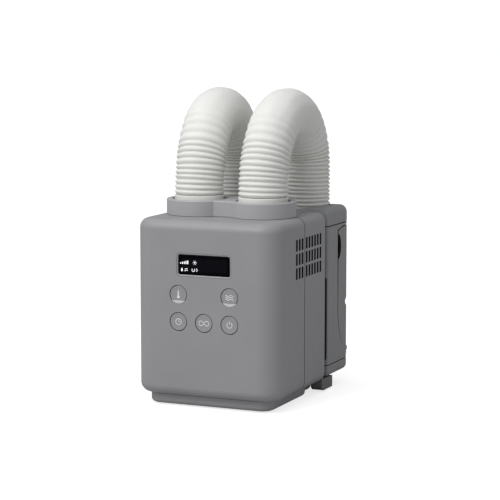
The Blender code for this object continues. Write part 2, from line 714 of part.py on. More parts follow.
def nozzle_blank(name):
    return block(name, nozzle_x, nozzle_depth, (NOZZLE_TIP_TOP + SEAM, NOZZLE_CAP_BOTTOM - SEAM),
                 NOZZLE_FRONT_RADIUS, GREY_DARK, back_radius=NOZZLE_RADIUS)


def knuckle(low, high, grow, way):
    """Hinge barrel with a web that ties it to the nozzle's back wall, above it (way 1) or below it."""
    radius = HINGE_RADIUS + grow
    barrel = cylinder("barrel", "X", hinge_centre, radius, low - grow, high + grow, GREY_DARK, 20)
    heights = sorted((HINGE_HEIGHT - way * grow, HINGE_HEIGHT + way * (HINGE_WEB + grow)))
    depths = (NOZZLE_BACK - WALL - grow, HINGE_DEPTH + 0.0004)
    web = box("web", (low - grow, high + grow), depths, heights, GREY_DARK)
    return combine(barrel, web, "UNION")


base = nozzle_blank("nozzle_base_right")
combine(base, side_profile("flap_space", flap_outline(0.0005), (0.0, 0.1), GREY))
inside_x = (nozzle_x[0] + WALL, nozzle_x[1] - WALL)
inside_depth = (NOZZLE_FRONT + WALL, NOZZLE_BACK - WALL)
channel = block("channel", inside_x, inside_depth, (0.0330, 0.2000), NOZZLE_FRONT_RADIUS - WALL, GREY,
                back_radius=NOZZLE_RADIUS - WALL)
combine(channel, side_profile("solid_back", [(0.199, 0.020), (0.240, 0.020), (0.240, 0.052), (0.199, 0.060)],
                              (0.0, 0.1), GREY))
combine(base, channel)
combine(base, knuckle(*KNUCKLES[1], 0.0004, 1))
for low, high in (KNUCKLES[0], KNUCKLES[2]):
    combine(base, knuckle(low, high, 0.0, -1), "UNION")
combine(base, cylinder("pin_hole", "X", hinge_centre, PIN_RADIUS + GAP, 0.0, 0.1, GREY, SMALL_STEPS))
soften(base)

flap = nozzle_blank("nozzle_flap_right")
combine(flap, side_profile("flap_side", flap_outline(0.0), (0.0, 0.1), GREY), "INTERSECT")
pocket_depth = (0.180, NOZZLE_BACK - WALL)
for pocket in FLAP_POCKETS:
    combine(flap, block("pocket", inside_x, pocket_depth, pocket, NOZZLE_RADIUS - WALL, GREY))
grip = cylinder("grip", "X", (0, 0, 0), 1.0, -0.1, 0.1, GREY, 24)
place = Matrix.Translation((0, y_at(NOZZLE_BACK), GRIP_HEIGHT))
grip.data.transform(place @ Matrix.Diagonal((1, *GRIP_SIZE, 1)))
combine(flap, grip)
for low, high in (KNUCKLES[0], KNUCKLES[2]):
    combine(flap, knuckle(low, high, 0.0004, -1))
combine(flap, knuckle(*KNUCKLES[1], 0.0, 1), "UNION")
combine(flap, cylinder("pin_hole", "X", hinge_centre, PIN_RADIUS + GAP, 0.0, 0.1, GREY, SMALL_STEPS))
soften(move_origin(flap, (NOZZLE_X, y_at(HINGE_DEPTH), HINGE_HEIGHT)))

pin = cylinder("nozzle_pin_right", "X", hinge_centre, PIN_RADIUS, KNUCKLES[0][0], KNUCKLES[2][1], STEEL,
               SMALL_STEPS)
soften(pin)

cap = block("nozzle_cap_right", nozzle_x, nozzle_depth, (NOZZLE_CAP_BOTTOM, NOZZLE_TOP), NOZZLE_FRONT_RADIUS,
            GREY_DARK, high_edge=0.009, back_radius=NOZZLE_RADIUS)
socket = [(0.0, 0.18), (0.0245, 0.18), (0.0245, 0.2070), (0.0289, 0.2070), (0.0289, 0.22), (0.0, 0.22)]
combine(cap, turned("socket", "Z", (NOZZLE_X, y_at(nozzle_middle), 0), socket, GREY))
soften(cap)

tip = block("nozzle_tip_right", nozzle_x, nozzle_depth, (NOZZLE_BOTTOM, NOZZLE_TIP_TOP), NOZZLE_FRONT_RADIUS,
            GREY_DARK, low_edge=0.007, back_radius=NOZZLE_RADIUS)
soften(tip)

for node in (base, pin, cap, tip):
    mirror_x(node, node.name.replace("right", "left"))
left_flap = mirror_x(flap, "nozzle_flap_left")
left_flap.location = (-NOZZLE_X, y_at(HINGE_DEPTH), HINGE_HEIGHT)


# ---- nozzle cradle on the rear wall, and the cord inlet ----
CRADLE_PLATE = 0.0030
cradle_front = RECESS_DEPTH + GAP
cradle_back = RECESS_DEPTH + CRADLE_PLATE
cradle = box("nozzle_cradle", (-CRADLE_ARM[1], CRADLE_ARM[1]), (cradle_front, cradle_back),
             (0.0138, CRADLE_TOP), GREY_DARK)
arm_outline = [(cradle_front, 0.0058), (0.1500, 0.0018), (CRADLE_REACH, 0.0018), (CRADLE_REACH, 0.0150),
               (cradle_front, 0.0150)]
for side in (-1, 1):
    arm_x = sorted(side * x for x in CRADLE_ARM)
    combine(cradle, side_profile("arm", arm_outline, arm_x, GREY_DARK), "UNION")
holes = [cylinder("hole", "Y", (x, 0, z), 0.0019, y_at(0.140), y_at(0.152), GREY, 12)
         for x, z in CRADLE_SCREWS]
combine(cradle, joined("holes", holes))
soften(cradle)
for i, (x, z) in enumerate(CRADLE_SCREWS):
    screw(f"screw_cradle_{i + 1}", "Y", (x, y_at(cradle_back + 0.0022), z), -1, 0.0034, 0.0015, 0.0110)

GLAND_BORE = 0.0033
gland_profile = [(GLAND_BORE, 0.1503), (0.0058, 0.1503), (0.0058, 0.1520), (0.0052, 0.1530), (0.0046, 0.1580),
                 (GLAND_BORE, 0.1580)]
soften(turned("cord_gland", "Y", (0, y_at(0), 0.0075), gland_profile, BLACK_PART, 16))
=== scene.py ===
# Looks of a bedding dryer: a grey casing with a display and five round buttons, two corrugated
# hoses bent over the back, and two flat nozzles stowed upright behind the casing.
# Metres, +Z up. The front panel faces -Y and +X is on the right seen from the front.
import json
import math

import bmesh
import bpy
import numpy as np
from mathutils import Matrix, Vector

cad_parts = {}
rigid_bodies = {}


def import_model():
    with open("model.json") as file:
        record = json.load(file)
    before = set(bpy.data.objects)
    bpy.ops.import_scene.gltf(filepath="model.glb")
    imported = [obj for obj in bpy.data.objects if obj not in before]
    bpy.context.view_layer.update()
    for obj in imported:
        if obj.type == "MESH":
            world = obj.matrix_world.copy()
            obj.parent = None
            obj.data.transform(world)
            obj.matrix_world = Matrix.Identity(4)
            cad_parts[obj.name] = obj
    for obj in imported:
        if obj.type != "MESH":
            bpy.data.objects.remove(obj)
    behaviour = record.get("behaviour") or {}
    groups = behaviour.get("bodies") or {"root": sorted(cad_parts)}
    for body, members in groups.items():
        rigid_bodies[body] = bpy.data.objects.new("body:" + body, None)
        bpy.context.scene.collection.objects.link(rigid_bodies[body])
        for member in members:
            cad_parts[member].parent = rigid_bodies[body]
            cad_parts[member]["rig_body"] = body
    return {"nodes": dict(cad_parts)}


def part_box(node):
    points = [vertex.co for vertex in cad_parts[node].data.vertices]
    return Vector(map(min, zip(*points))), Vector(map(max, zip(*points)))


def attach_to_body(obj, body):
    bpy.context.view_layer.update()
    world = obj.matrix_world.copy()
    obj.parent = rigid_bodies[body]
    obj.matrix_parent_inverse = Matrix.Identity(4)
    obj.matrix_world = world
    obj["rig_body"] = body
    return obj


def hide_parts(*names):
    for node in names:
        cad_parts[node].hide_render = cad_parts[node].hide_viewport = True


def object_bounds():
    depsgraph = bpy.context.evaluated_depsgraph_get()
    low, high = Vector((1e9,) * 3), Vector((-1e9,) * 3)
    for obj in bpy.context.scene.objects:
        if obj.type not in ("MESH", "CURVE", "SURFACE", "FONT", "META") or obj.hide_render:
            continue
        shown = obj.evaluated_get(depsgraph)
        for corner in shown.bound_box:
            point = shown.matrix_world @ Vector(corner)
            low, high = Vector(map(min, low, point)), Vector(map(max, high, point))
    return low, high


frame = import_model()
cadLow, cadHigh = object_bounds()
print("frame:", len(frame["nodes"]), "nodes")


# small tools for meshes

def span(node):  # lowest and highest corner of a CAD node, as arrays
    low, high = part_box(node)
    return np.array(low), np.array(high)


def gridQuads(rows, columns, wrapRows=False, wrapColumns=False):
    # squares between neighbouring points of a grid stored row by row
    r, c = np.meshgrid(
        np.arange(rows if wrapRows else rows - 1),
        np.arange(columns if wrapColumns else columns - 1), indexing="ij")
    below = (r + 1) % rows
    beside = (c + 1) % columns
    corners = [r * columns + c, r * columns + beside, below * columns + beside, below * columns + c]
    return np.stack(corners, -1).reshape(-1, 4)


def makePiece(name, points, faces, material=None):
    mesh = bpy.data.meshes.new(name)
    mesh.from_pydata(np.reshape(points, (-1, 3)).tolist(), [], [list(face) for face in faces])
    if material:
        mesh.materials.append(material)
    piece = bpy.data.objects.new(name, mesh)
    bpy.context.collection.objects.link(piece)
    return piece


def cleanUp(piece, distance=1e-6):  # merges doubles and turns every face outwards
    shape = bmesh.new()
    shape.from_mesh(piece.data)
    bmesh.ops.remove_doubles(shape, verts=shape.verts, dist=distance)
    bmesh.ops.dissolve_degenerate(shape, edges=shape.edges, dist=1e-7)
    bmesh.ops.recalc_face_normals(shape, faces=shape.faces)
    shape.to_mesh(piece.data)
    shape.free()
    return piece


def quarter(x, y, radius, start, steps):
    # quarter turn about (x, y), counterclockwise from start degrees; one point if the radius is 0
    turn = np.radians(np.linspace(start, start + 90, steps + 1 if radius > 0 else 1))
    return np.column_stack([x + radius * np.cos(turn), y + radius * np.sin(turn)])


def plate(left, right, front, back, frontRadius, backRadius, steps=14):
    # counterclockwise rectangle whose corners are quarter turns
    f, b = frontRadius, backRadius
    return np.vstack([
        quarter(left + f, front + f, f, 180, steps), quarter(right - f, front + f, f, 270, steps),
        quarter(right - b, back - b, b, 0, steps), quarter(left + b, back - b, b, 90, steps)])


def circle(radius, steps=48):
    turn = np.linspace(0, 2 * math.pi, steps, endpoint=False)
    return radius * np.column_stack([np.cos(turn), np.sin(turn)])


def roundLevels(low, high, lowRadius, highRadius, steps=8):
    # inset and height of each level of a block whose lower and upper edges are quarter rounds:
    # inset is radius times one minus the sine, height moves by radius times one minus the cosine
    turn = np.linspace(0, math.pi / 2, steps + 1)
    lower = np.array([[0.0, low]])
    upper = np.array([[0.0, high]])
    if lowRadius > 0:
        lower = np.column_stack([lowRadius * (1 - np.sin(turn)), low + lowRadius * (1 - np.cos(turn))])
    if highRadius > 0:
        upper = np.column_stack([highRadius * (1 - np.cos(turn)), high - highRadius * (1 - np.sin(turn))])
    return np.vstack([lower, upper])


def stack(outline, levels):  # one ring for each level: the outline at its inset, lifted to its height
    loops = [outline(inset) for inset, _ in levels]
    heights = [np.full(len(loops[0]), height) for _, height in levels]
    return np.stack([np.column_stack([loop, height]) for loop, height in zip(loops, heights)])


def solid(name, rings, material=None):
    # closed solid through rings of equal length, with a flat cap at each end
    rows, columns = rings.shape[:2]
    faces = gridQuads(rows, columns, wrapColumns=True).tolist()
    faces.append(list(range(columns))[::-1])
    faces.append(list(range((rows - 1) * columns, rows * columns)))
    return cleanUp(makePiece(name, rings, faces, material))


def prisms(name, outline, centres, low, high, axis, material=None):
    # one straight prism of the outline at each centre, all in one mesh, from low to high along the axis
    centres = np.array(centres, float)
    count = len(outline)
    along, first, second = {"X": (0, 1, 2), "Y": (1, 0, 2), "Z": (2, 0, 1)}[axis]
    points = np.empty((len(centres), 2, count, 3))
    points[..., along] = np.array([low, high])[None, :, None]
    points[..., first] = (outline[None, :, 0] + centres[:, :1])[:, None, :]
    points[..., second] = (outline[None, :, 1] + centres[:, 1:])[:, None, :]
    sides = gridQuads(2, count, wrapColumns=True)
    caps = np.vstack([np.arange(count)[::-1], np.arange(count, 2 * count)])
    faces = []
    for i in range(len(centres)):
        faces += (sides + 2 * count * i).tolist() + (caps + 2 * count * i).tolist()
    return cleanUp(makePiece(name, points, faces, material))


def turned(name, axis, centre, profile, material=None, steps=64):
    # the closed profile of (radius, distance) points turned about an axis through the centre
    angle = np.linspace(0, 2 * math.pi, steps, endpoint=False)[:, None]
    radius, along = np.array(profile, float).T
    a = radius * np.cos(angle)
    b = radius * np.sin(angle)
    along = np.broadcast_to(along, a.shape)
    order = {"X": (along, a, b), "Y": (b, along, a), "Z": (a, b, along)}[axis]
    points = np.stack(order, -1) + np.array(centre, float)
    return cleanUp(makePiece(name, points, gridQuads(steps, len(profile), True, True).tolist(), material))


def brick(name, x, y, z, material=None):
    outline = np.array([[x[0], y[0]], [x[1], y[0]], [x[1], y[1]], [x[0], y[1]]])
    return prisms(name, outline, [(0, 0)], z[0], z[1], "Z", material)


def carve(piece, *tools, operation="DIFFERENCE"):  # exact Boolean with each tool in turn, applied
    for tool in tools:
        modifier = piece.modifiers.new("carve", "BOOLEAN")
        modifier.operation = operation
        modifier.solver = "EXACT"
        modifier.object = tool
        evaluated = piece.evaluated_get(bpy.context.evaluated_depsgraph_get())
        result = bpy.data.meshes.new_from_object(evaluated)
        piece.modifiers.clear()
        piece.data = result
        bpy.data.objects.remove(tool)
        cleanUp(piece)
    return piece


def paintFaces(piece, material, low, high, facing, least=0.7):
    # gives the faces inside the box that look along the direction their own material
    mesh = piece.data
    mesh.materials.append(material)
    count = len(mesh.polygons)
    centre = np.empty(count * 3, np.float32)
    normal = np.empty(count * 3, np.float32)
    index = np.empty(count, np.int32)
    mesh.polygons.foreach_get("center", centre)
    mesh.polygons.foreach_get("normal", normal)
    mesh.polygons.foreach_get("material_index", index)
    centre = centre.reshape(-1, 3)
    inside = ((centre >= low) & (centre <= high)).all(1)
    chosen = inside & (normal.reshape(-1, 3) @ np.array(facing, np.float32) > least)
    index[chosen] = len(mesh.materials) - 1
    mesh.polygons.foreach_set("material_index", index)
    return piece


def soften(piece, edge=0.0003, segments=2, angle=35):
    # rounds the edges that are sharper than the angle and keeps large faces flat in the shading
    piece.data.shade_smooth()
    if edge > 0:
        bevel = piece.modifiers.new("edges", "BEVEL")
        bevel.width = edge
        bevel.segments = segments
        bevel.limit_method = "ANGLE"
        bevel.angle_limit = math.radians(angle)
        bevel.miter_outer = "MITER_ARC"
    flat = piece.modifiers.new("flat faces", "WEIGHTED_NORMAL")
    flat.weight = 60
    return piece


def bodyOf(node):
    return frame["nodes"][node]["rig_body"]


def attach(piece, body):
    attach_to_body(piece, body)


def standFor(piece, node):  # the new piece rides where the CAD node does and hides it
    attach(piece, bodyOf(node))
    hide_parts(node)


def mirrored(piece, name):  # the same mesh on the other side: every x changes sign, every face turns round
    mesh = piece.data.copy()
    mesh.name = name
    points = np.empty(len(mesh.vertices) * 3, np.float32)
    mesh.vertices.foreach_get("co", points)
    points[::3] *= -1
    mesh.vertices.foreach_set("co", points)
    mesh.flip_normals()
    copy = bpy.data.objects.new(name, mesh)
    bpy.context.collection.objects.link(copy)
    return copy


def refined(node, name, material, edge=0.0003, angle=30):
    # merged copy of a CAD node, its flat faces joined again and its sharp edges rounded
    mesh = frame["nodes"][node].data.copy()
    mesh.name = name
    piece = bpy.data.objects.new(name, mesh)
    bpy.context.collection.objects.link(piece)
    shape = bmesh.new()
    shape.from_mesh(mesh)
    bmesh.ops.remove_doubles(shape, verts=shape.verts, dist=2e-6)
    bmesh.ops.dissolve_limit(shape, angle_limit=math.radians(0.5), verts=shape.verts, edges=shape.edges)
    shape.to_mesh(mesh)
    shape.free()
    mesh.materials.clear()
    mesh.materials.append(material)
    return soften(piece, edge, 2, angle)


# small tools for materials

def feed(tree, target, value):  # a socket is linked, a number or a colour is set
    if isinstance(value, bpy.types.NodeSocket):
        tree.links.new(value, target)
    else:
        target.default_value = value


def setInputs(tree, node, **values):
    for key, value in values.items():
        feed(tree, node.inputs[key.replace("_", " ")], value)


def addNode(tree, kind, settings=None, **values):
    made = tree.nodes.new("ShaderNode" + kind)
    for key, value in (settings or {}).items():
        setattr(made, key, value)
    setInputs(tree, made, **values)
    return made


def maths(tree, operation, first, second=0.0, clamp=False):
    made = tree.nodes.new("ShaderNodeMath")
    made.operation = operation
    made.use_clamp = clamp
    feed(tree, made.inputs[0], first)
    feed(tree, made.inputs[1], second)
    return made.outputs[0]


def spread(tree, value, fromLow, fromHigh, toLow=0.0, toHigh=1.0):
    made = tree.nodes.new("ShaderNodeMapRange")
    for socket, number in zip(made.inputs, (value, fromLow, fromHigh, toLow, toHigh)):
        feed(tree, socket, number)
    return made.outputs[0]


def mixed(tree, factor, first, second):
    made = tree.nodes.new("ShaderNodeMix")
    made.data_type = "RGBA"
    feed(tree, made.inputs[0], factor)
    feed(tree, made.inputs[6], first)
    feed(tree, made.inputs[7], second)
    return made.outputs[2]


def objectPlace(tree):
    return addNode(tree, "TexCoord").outputs["Object"]


def noise(tree, place, scale, detail, **values):
    return addNode(tree, "TexNoise", Vector=place, Scale=scale, Detail=detail, **values).outputs[0]


def makeGroup(name, inputs, outputs):
    group = bpy.data.node_groups.new(name, "ShaderNodeTree")
    for label, value in inputs:
        socket = group.interface.new_socket(name=label, in_out="INPUT", socket_type="NodeSocketFloat")
        socket.default_value = value
    for label in outputs:
        group.interface.new_socket(name=label, in_out="OUTPUT", socket_type="NodeSocketFloat")
    given = group.nodes.new("NodeGroupInput").outputs
    result = group.nodes.new("NodeGroupOutput").inputs
    return group, given, result


def makeGrain():
    # height is fine noise plus small cells, tone is slow noise and polish is noise in between
    group, given, result = makeGroup("moulded grain", [("Grain", 1800.0), ("Patch", 16.0)],
                                     ["Height", "Tone", "Polish"])
    place = objectPlace(group)
    cells = addNode(group, "TexVoronoi", Vector=place, Scale=maths(group, "MULTIPLY", given["Grain"], 0.45))
    low = maths(group, "MULTIPLY", cells.outputs["Distance"], 0.5)
    feed(group, result["Height"], maths(group, "ADD", noise(group, place, given["Grain"], 3.0), low))
    feed(group, result["Tone"], spread(group, noise(group, place, given["Patch"], 4.0), 0.3, 0.7))
    between = maths(group, "MULTIPLY", given["Patch"], 7.0)
    feed(group, result["Polish"], spread(group, noise(group, place, between, 5.0, Roughness=0.65), 0.3, 0.7))
    return group


def makeEdgeWear():
    # wear is where a rounded normal leaves the true one, broken up by noise
    group, given, result = makeGroup("edge wear", [("Reach", 0.0006), ("Breakup", 160.0)], ["Wear"])
    rounded = addNode(group, "Bevel", {"samples": 4}, Radius=given["Reach"])
    agree = addNode(group, "VectorMath", {"operation": "DOT_PRODUCT"})
    feed(group, agree.inputs[0], rounded.outputs[0])
    feed(group, agree.inputs[1], addNode(group, "NewGeometry").outputs["Normal"])
    edge = spread(group, agree.outputs["Value"], 0.995, 0.86)
    patches = noise(group, objectPlace(group), given["Breakup"], 4.0)
    feed(group, result["Wear"], maths(group, "MULTIPLY", edge, spread(group, patches, 0.35, 0.6)))
    return group


def makeDust():
    # dust lies where the surface faces up, in soft patches
    group, given, result = makeGroup("dust", [("Patch", 45.0), ("Slope", 0.55)], ["Dust"])
    normal = addNode(group, "NewGeometry").outputs["Normal"]
    up = addNode(group, "SeparateXYZ", Vector=normal).outputs["Z"]
    soft = noise(group, objectPlace(group), given["Patch"], 6.0, Roughness=0.7)
    lies = spread(group, up, given["Slope"], 1.0)
    feed(group, result["Dust"], maths(group, "MULTIPLY", lies, spread(group, soft, 0.35, 0.75)))
    return group


grainGroup = makeGrain()
edgeGroup = makeEdgeWear()
dustGroup = makeDust()


def useGroup(tree, group, **values):
    made = tree.nodes.new("ShaderNodeGroup")
    made.node_tree = group
    for key, value in values.items():
        made.inputs[key].default_value = value
    return made.outputs


def newMaterial(name):
    material = bpy.data.materials.new(name)
    material.use_nodes = True
    tree = material.node_tree
    return material, tree, tree.nodes["Principled BSDF"]


def cover(tree, shader, colour, rough, height, distance, strength, **plain):
    # what the finish varies over the surface, then its plain values
    bump = addNode(tree, "Bump", Height=height, Distance=distance, Strength=strength)
    setInputs(tree, shader, Base_Color=colour, Roughness=rough, Normal=bump.outputs[0], **plain)


def shade(colour, share):
    return tuple(min(part * share, 1.0) for part in colour) + (1.0,)


def mouldedPlastic(name, look):
    # tint varies slowly between two shades, edges are paler, upper faces carry a little dust,
    # roughness follows the polish noise and the height is fine spark-eroded grain
    material, tree, shader = newMaterial(name)
    tint = look["tint"]
    grain = useGroup(tree, grainGroup, Grain=look["grain"], Patch=16.0)
    worn = maths(tree, "MULTIPLY", useGroup(tree, edgeGroup, Reach=0.0006)["Wear"], look["wear"])
    dusty = maths(tree, "MULTIPLY", useGroup(tree, dustGroup)["Dust"], look["dust"])
    colour = mixed(tree, grain["Tone"], shade(tint, 1 - look["vary"]), shade(tint, 1 + look["vary"]))
    colour = mixed(tree, worn, colour, shade(tint, look.get("wornShade", 1.5)))
    colour = mixed(tree, dusty, colour, (0.42, 0.41, 0.39, 1.0))
    rough = spread(tree, grain["Polish"], 0.0, 1.0, *look["rough"])
    rough = maths(tree, "ADD", rough, maths(tree, "MULTIPLY", dusty, 0.25), True)
    cover(tree, shader, colour, rough, grain["Height"], look["bump"], 0.6,
          Specular_IOR_Level=look.get("specular", 0.5))
    return material


finishes = {
    "casing plastic": {"tint": (0.315, 0.312, 0.328), "vary": 0.03, "grain": 2200.0, "bump": 0.00006,
                       "rough": (0.46, 0.58), "wear": 0.35, "dust": 0.05},
    "nozzle plastic": {"tint": (0.290, 0.291, 0.299), "vary": 0.04, "grain": 2000.0, "bump": 0.00008,
                       "rough": (0.48, 0.62), "wear": 0.35, "dust": 0.05},
    # the cradle is tinted darker than the casing, partly as painted shade under the casing
    "cradle plastic and painted shade": {"tint": (0.190, 0.190, 0.195), "vary": 0.05, "grain": 2000.0, "bump": 0.00008,
                       "rough": (0.52, 0.66), "wear": 0.35, "dust": 0.05},
    # the collar is tinted lighter than the casing: painted light on the collar
    "collar plastic with painted light": {"tint": (0.415, 0.412, 0.428), "vary": 0.03, "grain": 2400.0, "bump": 0.00004,
                       "rough": (0.34, 0.46), "wear": 0.30, "dust": 0.05},
    "bezel plastic": {"tint": (0.380, 0.378, 0.392), "vary": 0.02, "grain": 2600.0, "bump": 0.00003,
                      "rough": (0.30, 0.42), "wear": 0.30, "dust": 0.04},
    "cuff plastic": {"tint": (0.800, 0.802, 0.770), "vary": 0.02, "grain": 1700.0, "bump": 0.00005,
                     "rough": (0.42, 0.55), "wear": 0.20, "dust": 0.05},
    "black plastic and painted shade": {"tint": (0.021, 0.021, 0.023), "vary": 0.08, "grain": 1800.0, "bump": 0.00006,
                      "rough": (0.55, 0.70), "wear": 0.35, "wornShade": 3.0, "dust": 0.05, "specular": 0.2},
    "lamp plastic": {"tint": (0.620, 0.618, 0.630), "vary": 0.02, "grain": 3000.0, "bump": 0.00002,
                     "rough": (0.25, 0.35), "wear": 0.15, "dust": 0.02},
    "printed ink": {"tint": (0.820, 0.820, 0.830), "vary": 0.04, "grain": 3200.0, "bump": 0.00002,
                    "rough": (0.45, 0.60), "wear": 0.10, "dust": 0.02},
    "foot rubber": {"tint": (0.026, 0.026, 0.027), "vary": 0.12, "grain": 1500.0, "bump": 0.00010,
                    "rough": (0.75, 0.92), "wear": 0.20, "wornShade": 2.2, "dust": 0.05, "specular": 0.15},
    "heater ceramic": {"tint": (0.420, 0.360, 0.300), "vary": 0.08, "grain": 1200.0, "bump": 0.00008,
                       "rough": (0.60, 0.80), "wear": 0.30, "dust": 0.06},
}
(casingPlastic, nozzlePlastic, cradlePlasticAndShade, collarPlasticPaintedLight, bezelPlastic, cuffPlastic, blackPlasticAndShade,
 lampPlastic, printInk, rubberAndGapShade, heaterCeramic) = [mouldedPlastic(*finish) for finish in finishes.items()]


# the valley colour is painted shade and the crest colour a painted highlight
hoseFinish = {"tint": (0.815, 0.819, 0.784), "valleyAndShade": (0.660, 0.660, 0.625), "crestAndHighlight": (0.865, 0.868, 0.835),
              "rough": (0.48, 0.64), "through": 0.3, "reach": 0.006, "weave": 900.0, "wrinkle": 130.0}


def makeHosePlastic(look):
    # the valleys between the rings are painted darker as painted shade and the crests paler as a painted
    # highlight; the height is fine grain plus wrinkles that run along the hose, both laid out on the hose as
    # if it were straight
    material, tree, shader = newMaterial("hose film")
    valleyAndShade = addNode(tree, "Attribute", {"attribute_name": "valleyAndShade"}).outputs["Fac"]
    straight = addNode(tree, "Attribute", {"attribute_name": "straight"}).outputs["Vector"]
    slow = spread(tree, noise(tree, straight, 28.0, 4.0), 0.3, 0.7)
    colour = mixed(tree, slow, shade(look["tint"], 0.97), shade(look["tint"], 1.03))
    # painted shade in the valleys, then a painted highlight on the crests
    colour = mixed(tree, spread(tree, valleyAndShade, 0.35, 0.95, 0.0, 0.75), colour, shade(look["valleyAndShade"], 1.0))
    crestAndHighlight = maths(tree, "MULTIPLY", spread(tree, valleyAndShade, 0.12, 0.0), 0.35)
    colour = mixed(tree, crestAndHighlight, colour, shade(look["crestAndHighlight"], 1.0))
    stretched = addNode(tree, "Mapping", Vector=straight, Scale=(1.0, 1.0, 0.28)).outputs[0]
    wrinkle = noise(tree, stretched, look["wrinkle"], 5.0)
    weave = maths(tree, "MULTIPLY", noise(tree, straight, look["weave"], 2.0), 0.22)
    cover(tree, shader, colour, spread(tree, wrinkle, 0.3, 0.7, *look["rough"]),
          maths(tree, "ADD", wrinkle, weave), 0.0007, 0.45, Specular_IOR_Level=0.4,
          Subsurface_Weight=look["through"], Subsurface_Scale=look["reach"],
          Subsurface_Radius=(1.0, 0.98, 0.90))
    return material


def makeDisplayGlass():
    # near black, a shade lighter over the lit area, with smears in the polish
    material, tree, shader = newMaterial("display glass")
    low, high = span("display_window")
    place = objectPlace(tree)
    parts = addNode(tree, "SeparateXYZ", Vector=place).outputs
    border = 0.0035
    soft = 0.0006
    inside = 1.0
    for part, a, b in ((parts["X"], low[0], high[0]), (parts["Z"], low[2], high[2])):
        rise = spread(tree, part, a + border, a + border + soft)
        fall = spread(tree, part, b - border, b - border - soft)
        inside = maths(tree, "MULTIPLY", inside, maths(tree, "MULTIPLY", rise, fall))
    smear = noise(tree, place, 70.0, 5.0, Distortion=0.8)
    colour = mixed(tree, inside, (0.0016, 0.0016, 0.0024, 1.0), (0.0046, 0.0044, 0.0068, 1.0))
    cover(tree, shader, colour, spread(tree, smear, 0.4, 0.75, 0.08, 0.20),
          noise(tree, place, 400.0, 2.0), 0.00002, 0.2, Specular_IOR_Level=0.04)
    return material


def makeGlow():
    # white segments, a little uneven like a cheap backlight
    material, tree, shader = newMaterial("lit segment")
    share = spread(tree, noise(tree, objectPlace(tree), 260.0, 2.0), 0.3, 0.7)
    colour = mixed(tree, share, (0.80, 0.83, 0.88, 1.0), (1.0, 1.0, 1.0, 1.0))
    setInputs(tree, shader, Base_Color=colour, Roughness=spread(tree, share, 0.0, 1.0, 0.3, 0.5),
              Emission_Color=colour, Emission_Strength=0.75)
    return material


def makeSteel():
    # zinc plate: fine turned lines in roughness and height, mottled tint, dark edges of oxide
    material, tree, shader = newMaterial("plated steel")
    grain = useGroup(tree, grainGroup, Grain=1400.0, Patch=60.0)
    wear = useGroup(tree, edgeGroup, Reach=0.0003)["Wear"]
    fine = addNode(tree, "Mapping", Vector=objectPlace(tree), Scale=(1.0, 0.06, 1.0)).outputs[0]
    lines = noise(tree, fine, 2600.0, 2.0)
    colour = mixed(tree, grain["Tone"], (0.46, 0.46, 0.47, 1.0), (0.60, 0.60, 0.61, 1.0))
    colour = mixed(tree, maths(tree, "MULTIPLY", wear, 0.4), colour, (0.30, 0.29, 0.28, 1.0))
    cover(tree, shader, colour, spread(tree, lines, 0.3, 0.7, 0.26, 0.46), lines, 0.00003, 0.5, Metallic=1.0)
    return material


def makeBoard():
    # solder mask: copper tracks are bands of a brick pattern, pads are the centres of small cells
    material, tree, shader = newMaterial("circuit board")
    place = objectPlace(tree)
    swapped = addNode(tree, "Mapping", Vector=place, Rotation=(math.pi / 2, 0.0, 0.0)).outputs[0]
    tracks = addNode(tree, "TexBrick", {"offset": 0.37}, Vector=swapped, Scale=110.0, Mortar_Size=0.035)
    pads = addNode(tree, "TexVoronoi", Vector=place, Scale=210.0).outputs["Distance"]
    pad = spread(tree, pads, 0.16, 0.13)
    colour = mixed(tree, tracks.outputs["Fac"], (0.012, 0.085, 0.030, 1.0), (0.030, 0.160, 0.060, 1.0))
    colour = mixed(tree, pad, colour, (0.50, 0.48, 0.42, 1.0))
    height = maths(tree, "ADD", tracks.outputs["Fac"], pad)
    cover(tree, shader, colour, spread(tree, pad, 0.0, 1.0, 0.28, 0.45), height, 0.00008, 0.6)
    return material


def makeFilterMesh():
    # open cloth: two sets of threads cross, the height is the higher thread and the holes are painted black
    # as painted shade of the inside seen through them
    material, tree, shader = newMaterial("filter mesh")
    place = objectPlace(tree)
    parts = addNode(tree, "SeparateXYZ", Vector=place).outputs
    pitch = 0.0011
    waves = []
    for part in (parts["Y"], parts["Z"]):
        turn = maths(tree, "MULTIPLY", part, 2 * math.pi / pitch)
        waves.append(spread(tree, maths(tree, "SINE", turn), -1.0, 1.0))
    thread = maths(tree, "MAXIMUM", *waves)
    slow = spread(tree, noise(tree, place, 60.0, 4.0), 0.5, 0.8)
    lint = mixed(tree, slow, (0.020, 0.020, 0.021, 1.0), (0.055, 0.053, 0.050, 1.0))
    # painted shade in the holes between the threads
    colour = mixed(tree, spread(tree, thread, 0.70, 0.90), (0.002, 0.002, 0.002, 1.0), lint)
    cover(tree, shader, colour, spread(tree, thread, 0.0, 1.0, 0.9, 0.6), thread, 0.0003, 0.8,
          Specular_IOR_Level=0.05)
    return material


hoseFilm = makeHosePlastic(hoseFinish)
displayGlass = makeDisplayGlass()
litSegment = makeGlow()
platedSteel = makeSteel()
circuitBoard = makeBoard()
filterMesh = makeFilterMesh()
print("materials:", len(bpy.data.materials))


# floor, light and camera

studio = {
    "floor": 12.0, "paper": (0.55, 0.55, 0.55), "glow": 0.74, "world": (0.98, 0.99, 1.0), "worldPower": 0.38,
    "sun": 1.1, "sunAngle": 75.0, "sunFrom": (-0.28, -0.50, 1.0), "key": 4.5, "keySize": (0.5, 0.4),
    "keyPlace": (-0.22, -0.80, 0.98), "camera": (0.8932, -2.0273, 0.4554), "azimuth": 23.636,
    "elevation": 7.426, "lens": 139.19,
}


